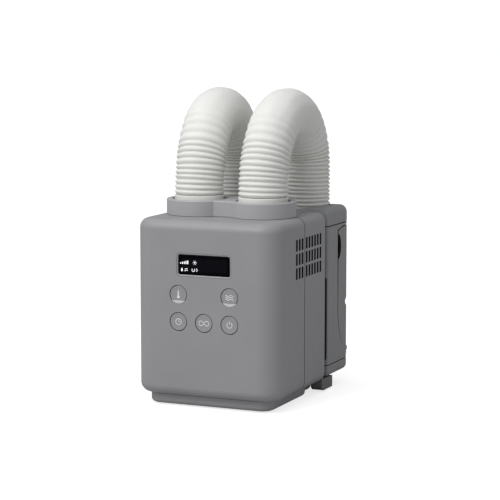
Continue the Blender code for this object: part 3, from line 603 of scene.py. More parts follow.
def makeFloor():  # paper that looks lit from behind to the camera only, so it adds no light to the dryer
    material, tree, shader = newMaterial("paper floor")
    fibre = noise(tree, objectPlace(tree), 9.0, 3.0)
    colour = mixed(tree, fibre, shade(studio["paper"], 0.99), shade(studio["paper"], 1.01))
    seen = addNode(tree, "LightPath").outputs["Is Camera Ray"]
    lit = mixed(tree, seen, (0.0, 0.0, 0.0, 1.0), (1.0, 1.0, 1.0, 1.0))
    setInputs(tree, shader, Base_Color=colour, Roughness=0.95, Specular_IOR_Level=0.1,
              Emission_Color=lit, Emission_Strength=studio["glow"])
    half = studio["floor"]
    corners = np.array([[-half, -half, 0], [half, -half, 0], [half, half, 0], [-half, half, 0]])
    makePiece("studio_floor", corners, [[0, 1, 2, 3]], material)


def addLight(name, kind, place, away, **settings):  # shines against the direction away
    data = bpy.data.lights.new(name, kind)
    for key, value in settings.items():
        setattr(data, key, value)
    light = bpy.data.objects.new(name, data)
    bpy.context.collection.objects.link(light)
    light.location = place
    light.rotation_mode = "QUATERNION"
    light.rotation_quaternion = Vector(away).to_track_quat("Z", "Y")


def makeStudio():
    makeFloor()
    world = bpy.data.worlds.new("pale room")
    world.use_nodes = True
    tree = world.node_tree
    background = tree.nodes["Background"].inputs
    background["Color"].default_value = (*studio["world"], 1.0)
    seen = addNode(tree, "LightPath").outputs["Is Camera Ray"]  # white only to the camera
    feed(tree, background["Strength"], spread(tree, seen, 0.0, 1.0, studio["worldPower"], 1.05))
    scene = bpy.context.scene
    scene.world = world
    middle = (cadLow + cadHigh) / 2
    width, height = studio["keySize"]
    addLight("key", "AREA", studio["keyPlace"], Vector(studio["keyPlace"]) - middle, shape="RECTANGLE",
             size=width, size_y=height, energy=studio["key"])
    addLight("sky light", "SUN", (0, 0, 0), studio["sunFrom"], energy=studio["sun"],
             angle=math.radians(studio["sunAngle"]))
    scene.view_settings.view_transform = "Standard"
    data = bpy.data.cameras.new("camera")
    data.lens = studio["lens"]
    data.sensor_width = 36.0
    data.clip_end = 60.0
    camera = bpy.data.objects.new("camera", data)
    bpy.context.collection.objects.link(camera)
    camera.location = studio["camera"]
    camera.rotation_euler = (math.radians(90 - studio["elevation"]), 0.0, math.radians(studio["azimuth"]))
    scene.camera = camera


makeStudio()
print("studio: floor, lights and camera")


# hoses

hose = {
    "radius": 0.0284, "wall": 0.0016, "portX": 0.0395, "socketX": 0.0445,
    "foot": 0.2343, "end": 0.2073, "spring": 0.2640, "rise": 0.0610,
    "portY": -0.0393, "springY": -0.0313, "socketY": 0.0762, "leanHeight": 0.0750,
    "spacing": 0.00042, "around": 88,
    "archAngles": (0, 20, 25, 158, 164, 180), "pitches": (5.25, 5.3, 8.6, 8.6, 4.9, 4.75),
    "depth": 0.0022, "seed": 11,
}


def hoseLine():
    # up with a smooth lean, over half an ellipse, and straight down; evenly spaced points and the
    # arch angle at each
    front = np.linspace(hose["foot"], hose["spring"], 60)[:-1]
    angle = np.linspace(0, math.pi, 400)
    rear = np.linspace(hose["spring"], hose["end"], 80)[1:]
    middle = (hose["springY"] + hose["socketY"]) / 2
    reach = (hose["socketY"] - hose["springY"]) / 2
    z = np.concatenate([front, hose["spring"] + hose["rise"] * np.sin(angle), rear])
    turn = np.concatenate([np.zeros(len(front)), angle, np.full(len(rear), math.pi)])
    y = middle - reach * np.cos(turn)
    rise = np.clip((z - hose["foot"]) / hose["leanHeight"], 0, 1)
    rise[turn > math.pi / 2] = 1
    y -= (hose["springY"] - hose["portY"]) * (1 - rise * rise * (3 - 2 * rise))
    x = hose["portX"] + (hose["socketX"] - hose["portX"]) * turn / math.pi
    points = np.column_stack([x, y, z])
    along = np.concatenate([[0], np.cumsum(np.linalg.norm(np.diff(points, axis=0), axis=1))])
    even = np.linspace(0, along[-1], round(along[-1] / hose["spacing"]))
    line = np.column_stack([np.interp(even, along, points[:, k]) for k in range(3)])
    return line, even, np.interp(even, along, turn)


def makeHose(name):
    # a circle carried along the line; its radius is the full radius less the depth of the valley
    # between rings, which fades where the outside of the bend is stretched
    line, along, turn = hoseLine()
    ahead = np.gradient(line, axis=0)
    ahead /= np.linalg.norm(ahead, axis=1)[:, None]
    across = np.array([1.0, 0, 0]) - ahead * ahead[:, :1]
    across /= np.linalg.norm(across, axis=1)[:, None]
    inward = np.cross(ahead, across)  # towards the inside of the bend
    angle = np.linspace(0, 2 * math.pi, hose["around"], endpoint=False)
    inner = np.sin(angle)[None, :]
    degrees = np.degrees(turn)
    pitch = np.interp(degrees, hose["archAngles"], hose["pitches"]) * 0.001
    count = np.concatenate([[0], np.cumsum(np.diff(along) / pitch[1:])])
    random = np.random.default_rng(hose["seed"])
    ring = np.floor(count).astype(int)
    uneven = random.normal(0, 1, (ring.max() + 2, 3))[ring]
    tilt = 0.05 * (uneven[:, :1] * np.cos(angle) + uneven[:, 1:2] * np.sin(angle))
    phase = count[:, None] + tilt * np.sin(math.pi * (count % 1))[:, None]
    crestAndHighlight = (np.sin(math.pi * phase) ** 2 + 0.01) ** 0.6
    outside = np.interp(degrees, (0, 19, 25, 38, 50, 62, 118, 132, 158, 166, 180),
                        (1, 1, 0.80, 0.70, 0.25, 0.05, 0.05, 0.50, 0.80, 1, 1))
    inside = np.interp(degrees, (0, 20, 28, 50, 75, 115, 150, 166, 180),
                       (1, 1, 0.7, 0.6, 0.5, 0.5, 0.6, 1, 1))
    side = np.clip((inner + 0.35) / 1.2, 0, 1)
    side = side * side * (3 - 2 * side)
    strength = outside[:, None] * (1 - side) + inside[:, None] * side
    valleyAndShade = strength * (1 - crestAndHighlight)
    bent = np.sin(turn)[:, None]
    crumple = np.sin(9 * angle + 34 * along[:, None]) * np.sin(3 * angle - 55 * along[:, None] + 1)
    radius = hose["radius"] - hose["depth"] * valleyAndShade - 0.00025 * bent * (1 + crumple)
    radius = radius - 0.00006 * np.abs(uneven[:, 2:3]) * strength * crestAndHighlight
    around = across[:, None] * np.cos(angle)[None, :, None] + inward[:, None] * np.sin(angle)[None, :, None]
    outer = line[:, None] + around * radius[..., None]
    coarse = np.unique(np.linspace(0, len(line) - 1, 70).astype(int))
    bore = hose["radius"] - hose["depth"] - hose["wall"]
    lining = line[coarse, None] + around[coarse] * bore
    columns = len(angle)
    points = np.vstack([outer, lining[::-1]])  # out along the outside and back along the lining
    piece = makePiece(name, points, gridQuads(len(points), columns, True, True).tolist(), hoseFilm)
    # the valley depth goes to the material as painted shade and painted highlight, eased in the smooth arch
    calm = np.interp(degrees, (0, 19, 25, 158, 166, 180), (1, 1, 0.35, 0.35, 1, 1))[:, None]
    shaded = np.vstack([valleyAndShade * calm, np.full((len(coarse), columns), 0.3)]).ravel()
    valleyShadeLayer = piece.data.attributes.new("valleyAndShade", "FLOAT", "POINT")
    valleyShadeLayer.data.foreach_set("value", shaded.astype(np.float32))
    flat = np.empty((len(line), columns, 3))
    flat[..., 0] = hose["radius"] * np.cos(angle)
    flat[..., 1] = hose["radius"] * np.sin(angle)
    flat[..., 2] = along[:, None]
    flat = np.vstack([flat, flat[coarse][::-1]])
    straight = piece.data.attributes.new("straight", "FLOAT_VECTOR", "POINT")
    straight.data.foreach_set("vector", flat.astype(np.float32).ravel())
    piece.data.shade_smooth()
    return piece


rightHose = makeHose("corrugated_hose_right")
leftHose = mirrored(rightHose, "corrugated_hose_left")
standFor(rightHose, "hose_right")
standFor(leftHose, "hose_left")
print("hoses: two corrugated tubes")


# casing

casing = {
    "wall": 0.0025, "frontRadius": 0.025, "rearRadius": 0.009, "edgeRadius": 0.011, "leastRadius": 0.0006,
    "cornerSteps": 18, "edgeSteps": 10, "lip": 0.0004, "seam": 0.0010, "overlap": 0.002,
    "recessTop": 0.1348, "recessY": 0.0307, "halfWidth": 0.0875, "portX": 0.0395, "portY": -0.0393,
    "portRadius": 0.0305,
}
slots = {"width": 0.0052, "height": 0.0131, "pitch": 0.0084, "rowPitch": 0.0159, "bottom": 0.1442,
         "corner": 0.0007, "bar": 0.0005, "margin": 0.0016, "frontY": -0.0563, "frontCount": 3,
         "rearY": -0.0273, "rearCount": 6, "rows": 3}
slots["top"] = slots["bottom"] + slots["rowPitch"] * (slots["rows"] - 1) + slots["height"]
panel = {
    "pitch": 0.0311, "upper": 0.1288, "lower": 0.0982, "buttonRadius": 0.0099, "hole": 0.0107,
    "lampDrop": 0.0061, "lens": 0.0104, "bezel": 0.0015, "lip": 0.0011, "windowDepth": 0.0012,
    "windowCorner": 0.0024, "displayHalf": 0.0315, "displayBottom": 0.1513, "displayTop": 0.1739,
    "gap": 0.0003,
}
buttons = {
    "temperature": (-panel["pitch"], panel["upper"]), "turbo": (panel["pitch"], panel["upper"]),
    "timer": (-panel["pitch"], panel["lower"]), "auto": (0.0, panel["lower"]),
    "power": (panel["pitch"], panel["lower"]),
}
panelY = span("front_shell")[0][1]


def shellRings(node, wall):
    # rounded block, moved in by the wall thickness; the inner one reaches past the open side
    low, high = span(node)
    edge = casing["edgeRadius"] - wall
    past = casing["overlap"] if wall else 0.0

    def outline(inset):
        move = wall + inset
        left, right = low[0] + move, high[0] - move
        if node == "front_shell":
            radius = casing["frontRadius"] - move
            return plate(left, right, low[1] + move, high[1] + past, radius, 0, casing["cornerSteps"])
        radius = max(casing["rearRadius"] - move, casing["leastRadius"])
        front = low[1] + casing["seam"] / 2
        return plate(left, right, front - past, high[1] - move, 0, radius, casing["cornerSteps"])

    return stack(outline, roundLevels(low[2] + wall, high[2] - wall, edge, edge, casing["edgeSteps"]))


def slotTools(firstY, count):
    half = slots["width"] / 2
    outline = plate(-half, half, 0, slots["height"], slots["corner"], slots["corner"], 4)
    centres = [(firstY + slots["pitch"] * i, slots["bottom"] + slots["rowPitch"] * row)
               for i in range(count) for row in range(slots["rows"])]
    sides = ((-0.095, -0.080), (0.080, 0.095))
    return [prisms("slots", outline, centres, low, high, "X") for low, high in sides]


def pocketLength(firstY, count, less=0.0):
    margin = slots["margin"] + slots["width"] / 2 - less
    return (firstY - margin, firstY + slots["pitch"] * (count - 1) + margin)


def thinBars(firstY, count):  # pockets inside both walls that leave the bars between the slots thin
    y = pocketLength(firstY, count)
    z = (slots["bottom"] - 0.002, slots["top"] + 0.002)
    outer = casing["halfWidth"] - slots["bar"]
    return [brick("pocket", sorted((side * (outer - 0.003), side * outer)), y, z) for side in (-1, 1)]


def paintSlotShade(piece):  # the sides of the slots are painted black: painted shade inside the slots
    top = slots["bottom"] + slots["rowPitch"] * slots["rows"]
    for side in (-1, 1):
        left, right = sorted((side * (casing["halfWidth"] - 0.0012), side * (casing["halfWidth"] - 0.00002)))
        for way in (-1, 1):
            low = (left, -0.07, slots["bottom"])
            paintFaces(piece, blackPlasticAndShade, low, (right, 0.03, top), (0, way, 0), 0.2)


def displayLoop(grow):  # outline of the display, moved out by grow
    half = panel["displayHalf"] + grow
    corner = panel["windowCorner"] + grow
    return plate(-half, half, panel["displayBottom"] - grow, panel["displayTop"] + grow, corner, corner, 8)


def portTool(radius, low, high):
    centres = [(side * casing["portX"], casing["portY"]) for side in (-1, 1)]
    return prisms("ports", circle(radius, 72), centres, low, high, "Z")


def openShell(piece, hollow, firstY, count):
    ports = portTool(casing["portRadius"], 0.204, 0.215)
    return carve(piece, hollow, *thinBars(firstY, count), *slotTools(firstY, count), ports)


def makeFrontCasing():
    piece = solid("casing_front", shellRings("front_shell", 0), casingPlastic)
    hollow = solid("hollow", shellRings("front_shell", casing["wall"]))
    openShell(piece, hollow, slots["frontY"], slots["frontCount"])
    window = displayLoop(panel["bezel"] + panel["gap"])
    depths = (panelY - 0.001, panelY + 0.004, "Y")
    holes = prisms("holes", circle(panel["hole"], 72), list(buttons.values()), *depths)
    carve(piece, prisms("window", window, [(0, 0)], *depths), holes)
    paintSlotShade(piece)
    standFor(soften(piece, casing["lip"], 3), "front_shell")


def makeRearCasing():
    piece = solid("casing_rear", shellRings("rear_shell", 0), casingPlastic)
    recessY = casing["recessY"]
    carve(piece, brick("recess", (-0.1, 0.1), (recessY, 0.05), (0.0, casing["recessTop"])))
    hollow = solid("hollow", shellRings("rear_shell", casing["wall"]))
    wall = casing["wall"]
    carve(hollow, brick("step", (-0.1, 0.1), (recessY - wall, 0.05), (0.0, casing["recessTop"] + wall)))
    openShell(piece, hollow, slots["rearY"], slots["rearCount"])
    front = span("rear_shell")[0][1] + casing["seam"] / 2
    # the front edge faces of the rear shell are painted black: painted shade in the seam
    paintFaces(piece, blackPlasticAndShade, (-0.1, front - 0.0002, 0), (0.1, front + 0.0002, 0.3), (0, -1, 0))
    paintSlotShade(piece)
    standFor(soften(piece, casing["lip"], 3), "rear_shell")


makeFrontCasing()
makeRearCasing()
print("casing: front and rear shells")


def makeFilter():  # plate behind the side wall with a raised pad in each pocket of the wall
    low, high = span("slot_filter_right")
    piece = brick("filter_right", (low[0], high[0]), (low[1], high[1]), (low[2], high[2]), filterMesh)
    x = (high[0] - 0.0002, casing["halfWidth"] - slots["bar"] - 0.0002)
    z = (slots["bottom"] - 0.0017, slots["top"] + 0.0017)
    for firstY, count in ((slots["frontY"], slots["frontCount"]), (slots["rearY"], slots["rearCount"])):
        y = pocketLength(firstY, count, 0.0003)
        carve(piece, brick("pad", x, y, z, filterMesh), operation="UNION")
    return soften(piece, 0.0002, 2)


rightFilter = makeFilter()
standFor(rightFilter, "slot_filter_right")
standFor(soften(mirrored(rightFilter, "filter_left"), 0.0002, 2), "slot_filter_left")


# plinth, feet and screws

plinth = {"radius": 0.015, "edge": 0.005, "lip": 0.0004, "stepY": -0.0013, "stepLength": 0.006,
          "stepIn": 0.008}


def makePlinth(node):
    low, high = span(node)
    isFront = node == "plinth_front"

    def outline(inset):
        left, right = low[0] + inset, high[0] - inset
        if isFront:
            radius = plinth["radius"] - inset
            return plate(left, right, low[1] + inset, high[1], radius, 0, 14)
        narrow = right - plinth["stepIn"]
        step = plinth["stepY"] - inset
        side = np.array([(right, low[1]), (right, step), (narrow, step + plinth["stepLength"]),
                         (narrow, high[1] - inset)])
        return np.vstack([side, side[::-1] * (-1, 1)])

    levels = roundLevels(low[2], high[2], plinth["edge"], 0, 6)
    piece = solid(node.replace("plinth", "base"), stack(outline, levels), casingPlastic)
    standFor(soften(piece, plinth["lip"], 3), node)


makePlinth("plinth_front")
makePlinth("plinth_rear")

foot = {"rim": 0.0005, "groove": 0.0003}
for place in ("front_left", "front_right", "rear_left", "rear_right"):
    low, high = span("foot_" + place)
    radius = (high[0] - low[0]) / 2
    rim = foot["rim"]
    height = high[2]
    profile = [(0, 0), (radius * 0.55, 0), (radius * 0.6, foot["groove"]), (radius * 0.68, foot["groove"]),
               (radius * 0.73, 0), (radius - rim, 0), (radius, rim), (radius, height), (0, height)]
    middle = (low + high) / 2
    piece = turned("pad_" + place, "Z", (middle[0], middle[1], 0), profile, rubberAndGapShade, 48)
    standFor(soften(piece, 0.0001, 2, 25), "foot_" + place)

screwNodes = [name for name in frame["nodes"] if name.startswith("screw_")]
for name in sorted(screwNodes):
    low, high = span(name)
    middle = (low + high) / 2
    radius = (high[0] - low[0]) / 2
    upright = high[2] - low[2] > high[1] - low[1]
    axis, face, way = ("Z", low[2], 1) if upright else ("Y", high[1], -1)
    reach = (high - low)[2 if upright else 1]
    crown = 0.0005
    bend = np.linspace(0, 1, 7)
    top = np.column_stack([radius * bend, face + way * crown * bend ** 2])
    pitch = 0.0007
    threads = np.arange(face + way * 0.0021, face + way * (reach - 0.0012), way * pitch / 2)
    zigzag = np.where(np.arange(len(threads)) % 2 == 0, 0.0015, 0.0012)
    profile = np.vstack([top, [(radius, face + way * 0.0019)], np.column_stack([zigzag, threads]),
                         [(0.0004, face + way * reach), (0, face + way * reach)]])
    centre = [middle[0], middle[1], 0] if upright else [middle[0], 0, middle[2]]
    piece = turned(name.replace("screw", "pan_screw"), axis, centre, profile, platedSteel, 40)
    arm = np.array([(-0.5, -0.5), (-0.5, -2.2), (0.5, -2.2), (0.5, -0.5), (2.2, -0.5), (2.2, 0.5), (0.5, 0.5),
                    (0.5, 2.2), (-0.5, 2.2), (-0.5, 0.5), (-2.2, 0.5), (-2.2, -0.5)]) * radius / 3.6
    spot = (middle[0], middle[1]) if upright else (middle[0], middle[2])
    carve(piece, prisms("cross", arm, [spot], *sorted((face - way * 0.001, face + way * 0.0014)), axis))
    standFor(soften(piece, 0.00008, 1, 30), name)
print("base: plinth, feet and", len(screwNodes), "screws")


# outlet collar and cuffs

collar = {"radius": 0.0375, "bridge": 0.011, "fillet": 0.0014, "bore": 0.0312, "steps": 64, "lip": 0.0004}
cuff = {"outer": 0.0308, "neck": 0.0282, "inner": 0.0262, "step": 0.0285, "shoulder": 0.2272, "round": 0.0006}


def makeCollar():
    # two circles joined by a flat block, with a quarter round on the upper edge
    low, high = span("outlet_collar")

    def outline(inset):
        radius = collar["radius"] - inset
        sweep = math.acos((casing["portX"] - collar["bridge"]) / radius)
        turn = np.linspace(-math.pi + sweep, math.pi - sweep, collar["steps"])
        right = radius * np.column_stack([np.cos(turn), np.sin(turn)]) + (casing["portX"], casing["portY"])
        left = np.column_stack([-right[:, 0], 2 * casing["portY"] - right[:, 1]])
        return np.vstack([right, left])

    levels = roundLevels(low[2], high[2], 0, collar["fillet"], 6)
    # the lighter collar tint is painted light
    piece = solid("collar", stack(outline, levels), collarPlasticPaintedLight)
    carve(piece, portTool(collar["bore"], low[2] - 0.002, high[2] + 0.002))
    standFor(soften(piece, collar["lip"], 3, 40), "outlet_collar")


makeCollar()
for side, way in (("left", -1), ("right", 1)):
    low, high = span("hose_cuff_" + side)
    r = cuff["round"]
    centre = (way * casing["portX"], casing["portY"], 0)
    profile = [(cuff["outer"], low[2]), (cuff["outer"], cuff["shoulder"]), (cuff["step"], cuff["shoulder"]),
               (cuff["step"], low[2])]
    flange = turned("flange_" + side, "Z", centre, profile, nozzlePlastic, 96)
    attach(soften(flange, 0.0004, 2, 20), "body")
    neck = cuff["neck"]
    profile = [(cuff["step"], low[2]), (cuff["step"], cuff["shoulder"]), (neck, cuff["shoulder"] + 0.0003),
               (neck, high[2] - r), (neck - r, high[2]), (cuff["inner"], high[2]), (cuff["inner"], low[2])]
    piece = turned("cuff_" + side, "Z", centre, profile, cuffPlastic, 96)
    standFor(soften(piece, 0.0002, 2, 20), "hose_cuff_" + side)
print("collar and cuffs")


# front panel: bezel, window, lit segments, buttons and their prints

def makeBezel():
    # a sloping rim carried round the display's outline: each line of the rim is the outline moved out
    # by its share and set back to its depth
    grows = (panel["bezel"], panel["bezel"], panel["lip"], 0.0, 0.0)
    depths = (0.0030, 0.0003, 0.0001, panel["windowDepth"], 0.0030)
    rings = []
    for grow, depth in zip(grows, depths):
        loop = displayLoop(grow)
        rings.append(np.column_stack([loop[:, 0], np.full(len(loop), panelY + depth), loop[:, 1]]))
    faces = gridQuads(len(rings), len(rings[0]), True, True).tolist()
    piece = cleanUp(makePiece("bezel", np.stack(rings), faces, bezelPlastic))
    standFor(soften(piece, 0.00012, 2, 20), "display_bezel")


def makeWindow():
    low, high = span("display_window")
    corner = panel["windowCorner"] - panel["gap"]
    loop = plate(low[0], high[0], low[2], high[2], corner, corner, 8)
    piece = prisms("window", loop, [(0, 0)], low[1], high[1], "Y", displayGlass)
    standFor(soften(piece, 0.00015, 2), "display_window")


def stroke(path, width, closed=False):
    # ribbon of a rectangle carried along a path of (x, z) points; y is 0 in front and 1 behind
    path = np.array(path, float)
    ahead = np.roll(path, -1, 0) - np.roll(path, 1, 0) if closed else np.gradient(path, axis=0)
    ahead /= np.linalg.norm(ahead, axis=1)[:, None]
    aside = np.column_stack([-ahead[:, 1], ahead[:, 0]]) * width / 2
    flat = np.stack([path + aside, path - aside, path - aside, path + aside], 1)
    depth = np.broadcast_to(np.array([0, 0, 1, 1.0]), flat.shape[:2])
    points = np.stack([flat[..., 0], depth, flat[..., 1]], -1)
    faces = gridQuads(len(path), 4, closed, True).tolist()
    if not closed:
        last = 4 * (len(path) - 1)
        faces += [[0, 1, 2, 3], [last + 3, last + 2, last + 1, last]]
    return points.reshape(-1, 3), faces


def patch(loop):  # filled outline of (x, z) points, y as in a stroke
    loop = np.array(loop, float)
    count = len(loop)
    ends = [np.column_stack([loop[:, 0], np.full(count, depth), loop[:, 1]]) for depth in (0.0, 1.0)]
    faces = gridQuads(2, count, wrapColumns=True).tolist()
    faces += [list(range(count)), list(range(count, 2 * count))[::-1]]
    return np.vstack(ends), faces


def makePrint(name, marks, centre, surface, material):
    # all marks of one print in one mesh, raised a little over the surface behind them
    points = []
    faces = []
    for markPoints, markFaces in marks:
        start = sum(len(block) for block in points)
        points.append(markPoints)
        faces += [[corner + start for corner in face] for face in markFaces]
    points = np.vstack(points)
    points[:, 0] += centre[0]
    points[:, 1] = surface - 0.00012 + points[:, 1] * 0.0004
    points[:, 2] += centre[1]
    return cleanUp(makePiece(name, points, faces, material), 1e-8)


def arcPath(radius, start, end, steps=40, centre=(0, 0)):
    turn = np.radians(np.linspace(start, end, steps))
    return np.column_stack([centre[0] + radius * np.cos(turn), centre[1] + radius * np.sin(turn)])


def buttonMarks(label):
    # thermometer, three waves of wind, a clock, an endless loop and a broken ring with a bar
    line = 0.0007
    if label == "temperature":
        stem = stroke([(0, -0.0010), (0, 0.0046)], 0.0016)
        return [stem, patch(circle(0.0017, 32) + (0, -0.0026)), patch(circle(0.0008, 24) + (0, 0.0046))]
    if label == "turbo":
        x = np.linspace(-0.0050, 0.0050, 40)
        wave = 0.0006 * np.sin(x / 0.0050 * math.pi * 1.5)
        return [stroke(np.column_stack([x, wave + rise]), line) for rise in (-0.0021, 0.0, 0.0021)]
    if label == "timer":
        hands = [[(0, -0.0003), (0, 0.0022)], [(-0.0003, 0), (0.0016, 0)]]
        rim = stroke(arcPath(0.0033, 0, 360, 49)[:-1], line, True)
        return [rim] + [stroke(hand, 0.0006) for hand in hands]
    if label == "auto":
        turn = np.linspace(0, 2 * math.pi, 96, endpoint=False)
        scale = 0.0060 / (1 + np.sin(turn) ** 2)
        loop = np.column_stack([scale * np.cos(turn), 1.25 * scale * np.sin(turn) * np.cos(turn)])
        return [stroke(loop[:48], line), stroke(loop[48:], line)]
    return [stroke(arcPath(0.0031, 122, 418, 48), line), stroke([(0, 0.0009), (0, 0.0041)], line)]


def makeButton(label):
    # a disc with a shallow dish: the face falls back towards the middle by the fourth power of the
    # radius, and the rim is a quarter round
    x, z = buttons[label]
    radius = panel["buttonRadius"]
    rim = 0.0006
    reach = radius - rim
    part = np.linspace(0, reach, 14)
    face = np.column_stack([part, 0.0005 - 0.0003 * (part / reach) ** 4])
    turn = np.linspace(0, math.pi / 2, 7)[1:]
    edge = np.column_stack([reach + rim * np.sin(turn), 0.0002 + rim * (1 - np.cos(turn))])
    back = span("button_" + label)[1][1] - panelY
    profile = np.vstack([face, edge, [(radius, back), (0, back)]])
    piece = turned("key_" + label, "Y", (x, panelY, z), profile, casingPlastic, 72)
    if z == panel["upper"]:
        depths = (panelY - 0.001, panelY + 0.0015)
        carve(piece, brick("seat", (x - 0.012, x + 0.012), depths, (z - 0.012, z - panel["lampDrop"])))
        sweep = math.acos((panel["lampDrop"] + panel["gap"]) / panel["lens"])
        turn = np.linspace(-math.pi / 2 - sweep, -math.pi / 2 + sweep, 32)
        lens = panel["lens"] * np.column_stack([np.cos(turn), np.sin(turn)])
        lamp = prisms("lens_" + label, lens, [(x, z)], panelY + 0.0003, panelY + 0.0012, "Y", lampPlastic)
        standFor(soften(lamp, 0.00025, 3), "lamp_" + label)
    standFor(soften(piece, 0.00015, 2), "button_" + label)
    mark = makePrint("print_" + label, buttonMarks(label), (x, z), panelY + 0.0005, printInk)
    attach(mark, bodyOf("button_" + label))


def displayMarks():
    # generic marks in two short rows at the left: level bars and a sun, a drop, waves, a ring, an arrow
    left = -panel["displayHalf"] + 0.0026
    upper = panel["displayTop"] - 0.0086
    lower = panel["displayBottom"] + 0.0058
    marks = []
    for i in range(5):
        height = 0.0016 + 0.0006 * i
        bar = np.array([(0, 0), (0.0010, 0), (0.0010, height), (0, height)])
        marks.append(patch(bar + (left + 0.0022 * i, upper - 0.0019)))
    sun = (left + 0.0178, upper)
    marks.append(patch(circle(0.0008, 20) + sun))
    for i in range(6):
        way = np.array([math.cos(i * math.pi / 3), math.sin(i * math.pi / 3)])
        marks.append(stroke([sun + way * 0.0015, sun + way * 0.0024], 0.0005))
    turn = np.linspace(0, 2 * math.pi, 32, endpoint=False)
    drop = np.column_stack([np.sin(turn) * np.sin(turn / 2) * 0.0013, -np.cos(turn) * 0.0020])
    marks.append(patch(drop * (1, -1) + (left + 0.0020, lower)))
    x = np.linspace(-0.0019, 0.0019, 24)
    for rise in (-0.0009, 0.0009):
        wave = np.column_stack([x, rise + 0.0004 * np.sin(x / 0.0019 * math.pi)])
        marks.append(stroke(wave + (left + 0.0072, lower), 0.0005))
    marks.append(stroke(arcPath(0.0017, 130, 410, 32, (left + 0.0160, lower)), 0.0005))
    arrow = np.array([(0.0196, -0.0017), (0.0210, 0), (0.0196, 0.0017)]) + (left, lower)
    marks.append(stroke(arrow, 0.0005))
    return marks


makeBezel()
makeWindow()
segments = makePrint("lit_segments", displayMarks(), (0, 0), panelY + panel["windowDepth"], litSegment)
attach(segments, "body")
for label in buttons:
    makeButton(label)
print("panel: bezel, window and", len(buttons), "buttons")


# nozzles: base, flap, cap and tip, made on the right and mirrored to the left

nozzle = {
    "frontY": 0.0427, "backY": 0.1097, "left": 0.0030, "right": 0.0860, "radius": 0.008, "wall": 0.0025,
    "tipTop": 0.0292, "capBottom": 0.1936, "seam": 0.0011, "frontRadius": 0.003, "split": 0.0762,
    "flapTop": 0.1898,
    "hingeY": 0.1115, "hingeZ": 0.040, "hinge": 0.0028, "web": 0.0070, "pin": 0.0012, "gap": 0.0010,
    "knuckles": ((0.0060, 0.0310), (0.0315, 0.0575), (0.0580, 0.0830)), "lip": 0.00045, "steps": 14,
    "cutMiddle": 0.1660, "cutHalf": 0.0150, "cutDepth": 0.0085,
}


def nozzleBlock(name, low, high, lowEdge=0.0, highEdge=0.0, wall=0.0, spigot=0.0):
    # rounded block; it may end in a narrower spigot that closes the seam above it from inside and is painted
    # black as painted shade in the seam
    def outline(inset):
        move = inset + wall
        front = max(nozzle["frontRadius"] - move, 0.0004)
        back = max(nozzle["radius"] - move, 0.0008)
        return plate(nozzle["left"] + move, nozzle["right"] - move, nozzle["frontY"] + move,
                     nozzle["backY"] - move, front, back, nozzle["steps"])

    levels = roundLevels(low, high, lowEdge, highEdge, 10)
    if spigot:
        levels = np.vstack([levels, [(0.0013, high), (0.0013, high + spigot)]])
    piece = solid(name, stack(outline, levels), nozzlePlastic)
    if spigot:
        top = high + spigot + 0.0001
        # the spigot is painted black: painted shade in the seam
        paintFaces(piece, rubberAndGapShade, (0, 0, high - 0.0001), (0.1, 0.2, top), (0, 0, 1), -2)
    return piece


def alongX(name, outline, low=0.0):  # prism of a side outline of (y, z) points
    return prisms(name, np.array(outline), [(0, 0)], low, 0.1, "X", nozzlePlastic)


def flapOutline(grow):
    # straight parting edge, run back to the hinge below, and a top edge that is an arc about the
    # hinge; the gap beside it narrows steadily from the finger cut to the hinge
    split = nozzle["split"]
    straight = [(split, nozzle["cutMiddle"] + part * nozzle["cutHalf"]) for part in (1, 0, -1)]
    foot = np.array([(split, 0.1200), (split, 0.0880), (split + 0.0012, 0.0780), (split + 0.0045, 0.0660),
                     (split + 0.0115, 0.0510), (split + 0.0200, 0.0460)])
    edge = np.vstack([straight, foot])
    edge[:, 0] -= grow * np.interp(edge[:, 1], (0.046, 0.088, 0.150), (0.7, 1.5, 2.4))
    low = 0.0430 - grow * 0.6
    reach = math.hypot(nozzle["hingeY"] - nozzle["backY"], nozzle["flapTop"] - nozzle["hingeZ"])
    reach += grow * 1.8 - 0.0008
    y = np.linspace(0.1187, split - grow * 2.4, 20)
    top = np.column_stack([y, nozzle["hingeZ"] + np.sqrt(reach ** 2 - (nozzle["hingeY"] - y) ** 2)])
    return np.vstack([edge, [(0.1067 - grow, low), (0.1187, low)], top])


def fingerCut():  # half a sine wave deep, cut into the outer side of the flap only
    turn = np.linspace(0, math.pi, 17)
    deep = np.column_stack([nozzle["split"] + nozzle["cutDepth"] * np.sin(turn),
                            nozzle["cutMiddle"] + nozzle["cutHalf"] * np.cos(turn)])
    ahead = nozzle["split"] - 0.004
    ends = [(ahead, deep[-1][1]), (ahead, deep[0][1])]
    return alongX("finger cut", np.vstack([deep, ends]), 0.0450)


def knuckle(low, high, grow, way):  # hinge barrel with a web above it (way 1) or below it
    y, z = nozzle["hingeY"], nozzle["hingeZ"]
    disc = circle(nozzle["hinge"] + grow, 40)
    barrel = prisms("barrel", disc, [(y, z)], low - grow, high + grow, "X", nozzlePlastic)
    heights = sorted((z - way * grow, z + way * (nozzle["web"] + grow)))
    depths = (nozzle["backY"] - nozzle["wall"] - grow, y + 0.0004)
    web = brick("web", (low - grow, high + grow), depths, heights, nozzlePlastic)
    return carve(barrel, web, operation="UNION")


def pinHole():
    centre = [(nozzle["hingeY"], nozzle["hingeZ"])]
    return prisms("pin hole", circle(nozzle["pin"] + 0.0003, 24), centre, 0.0, 0.1, "X")


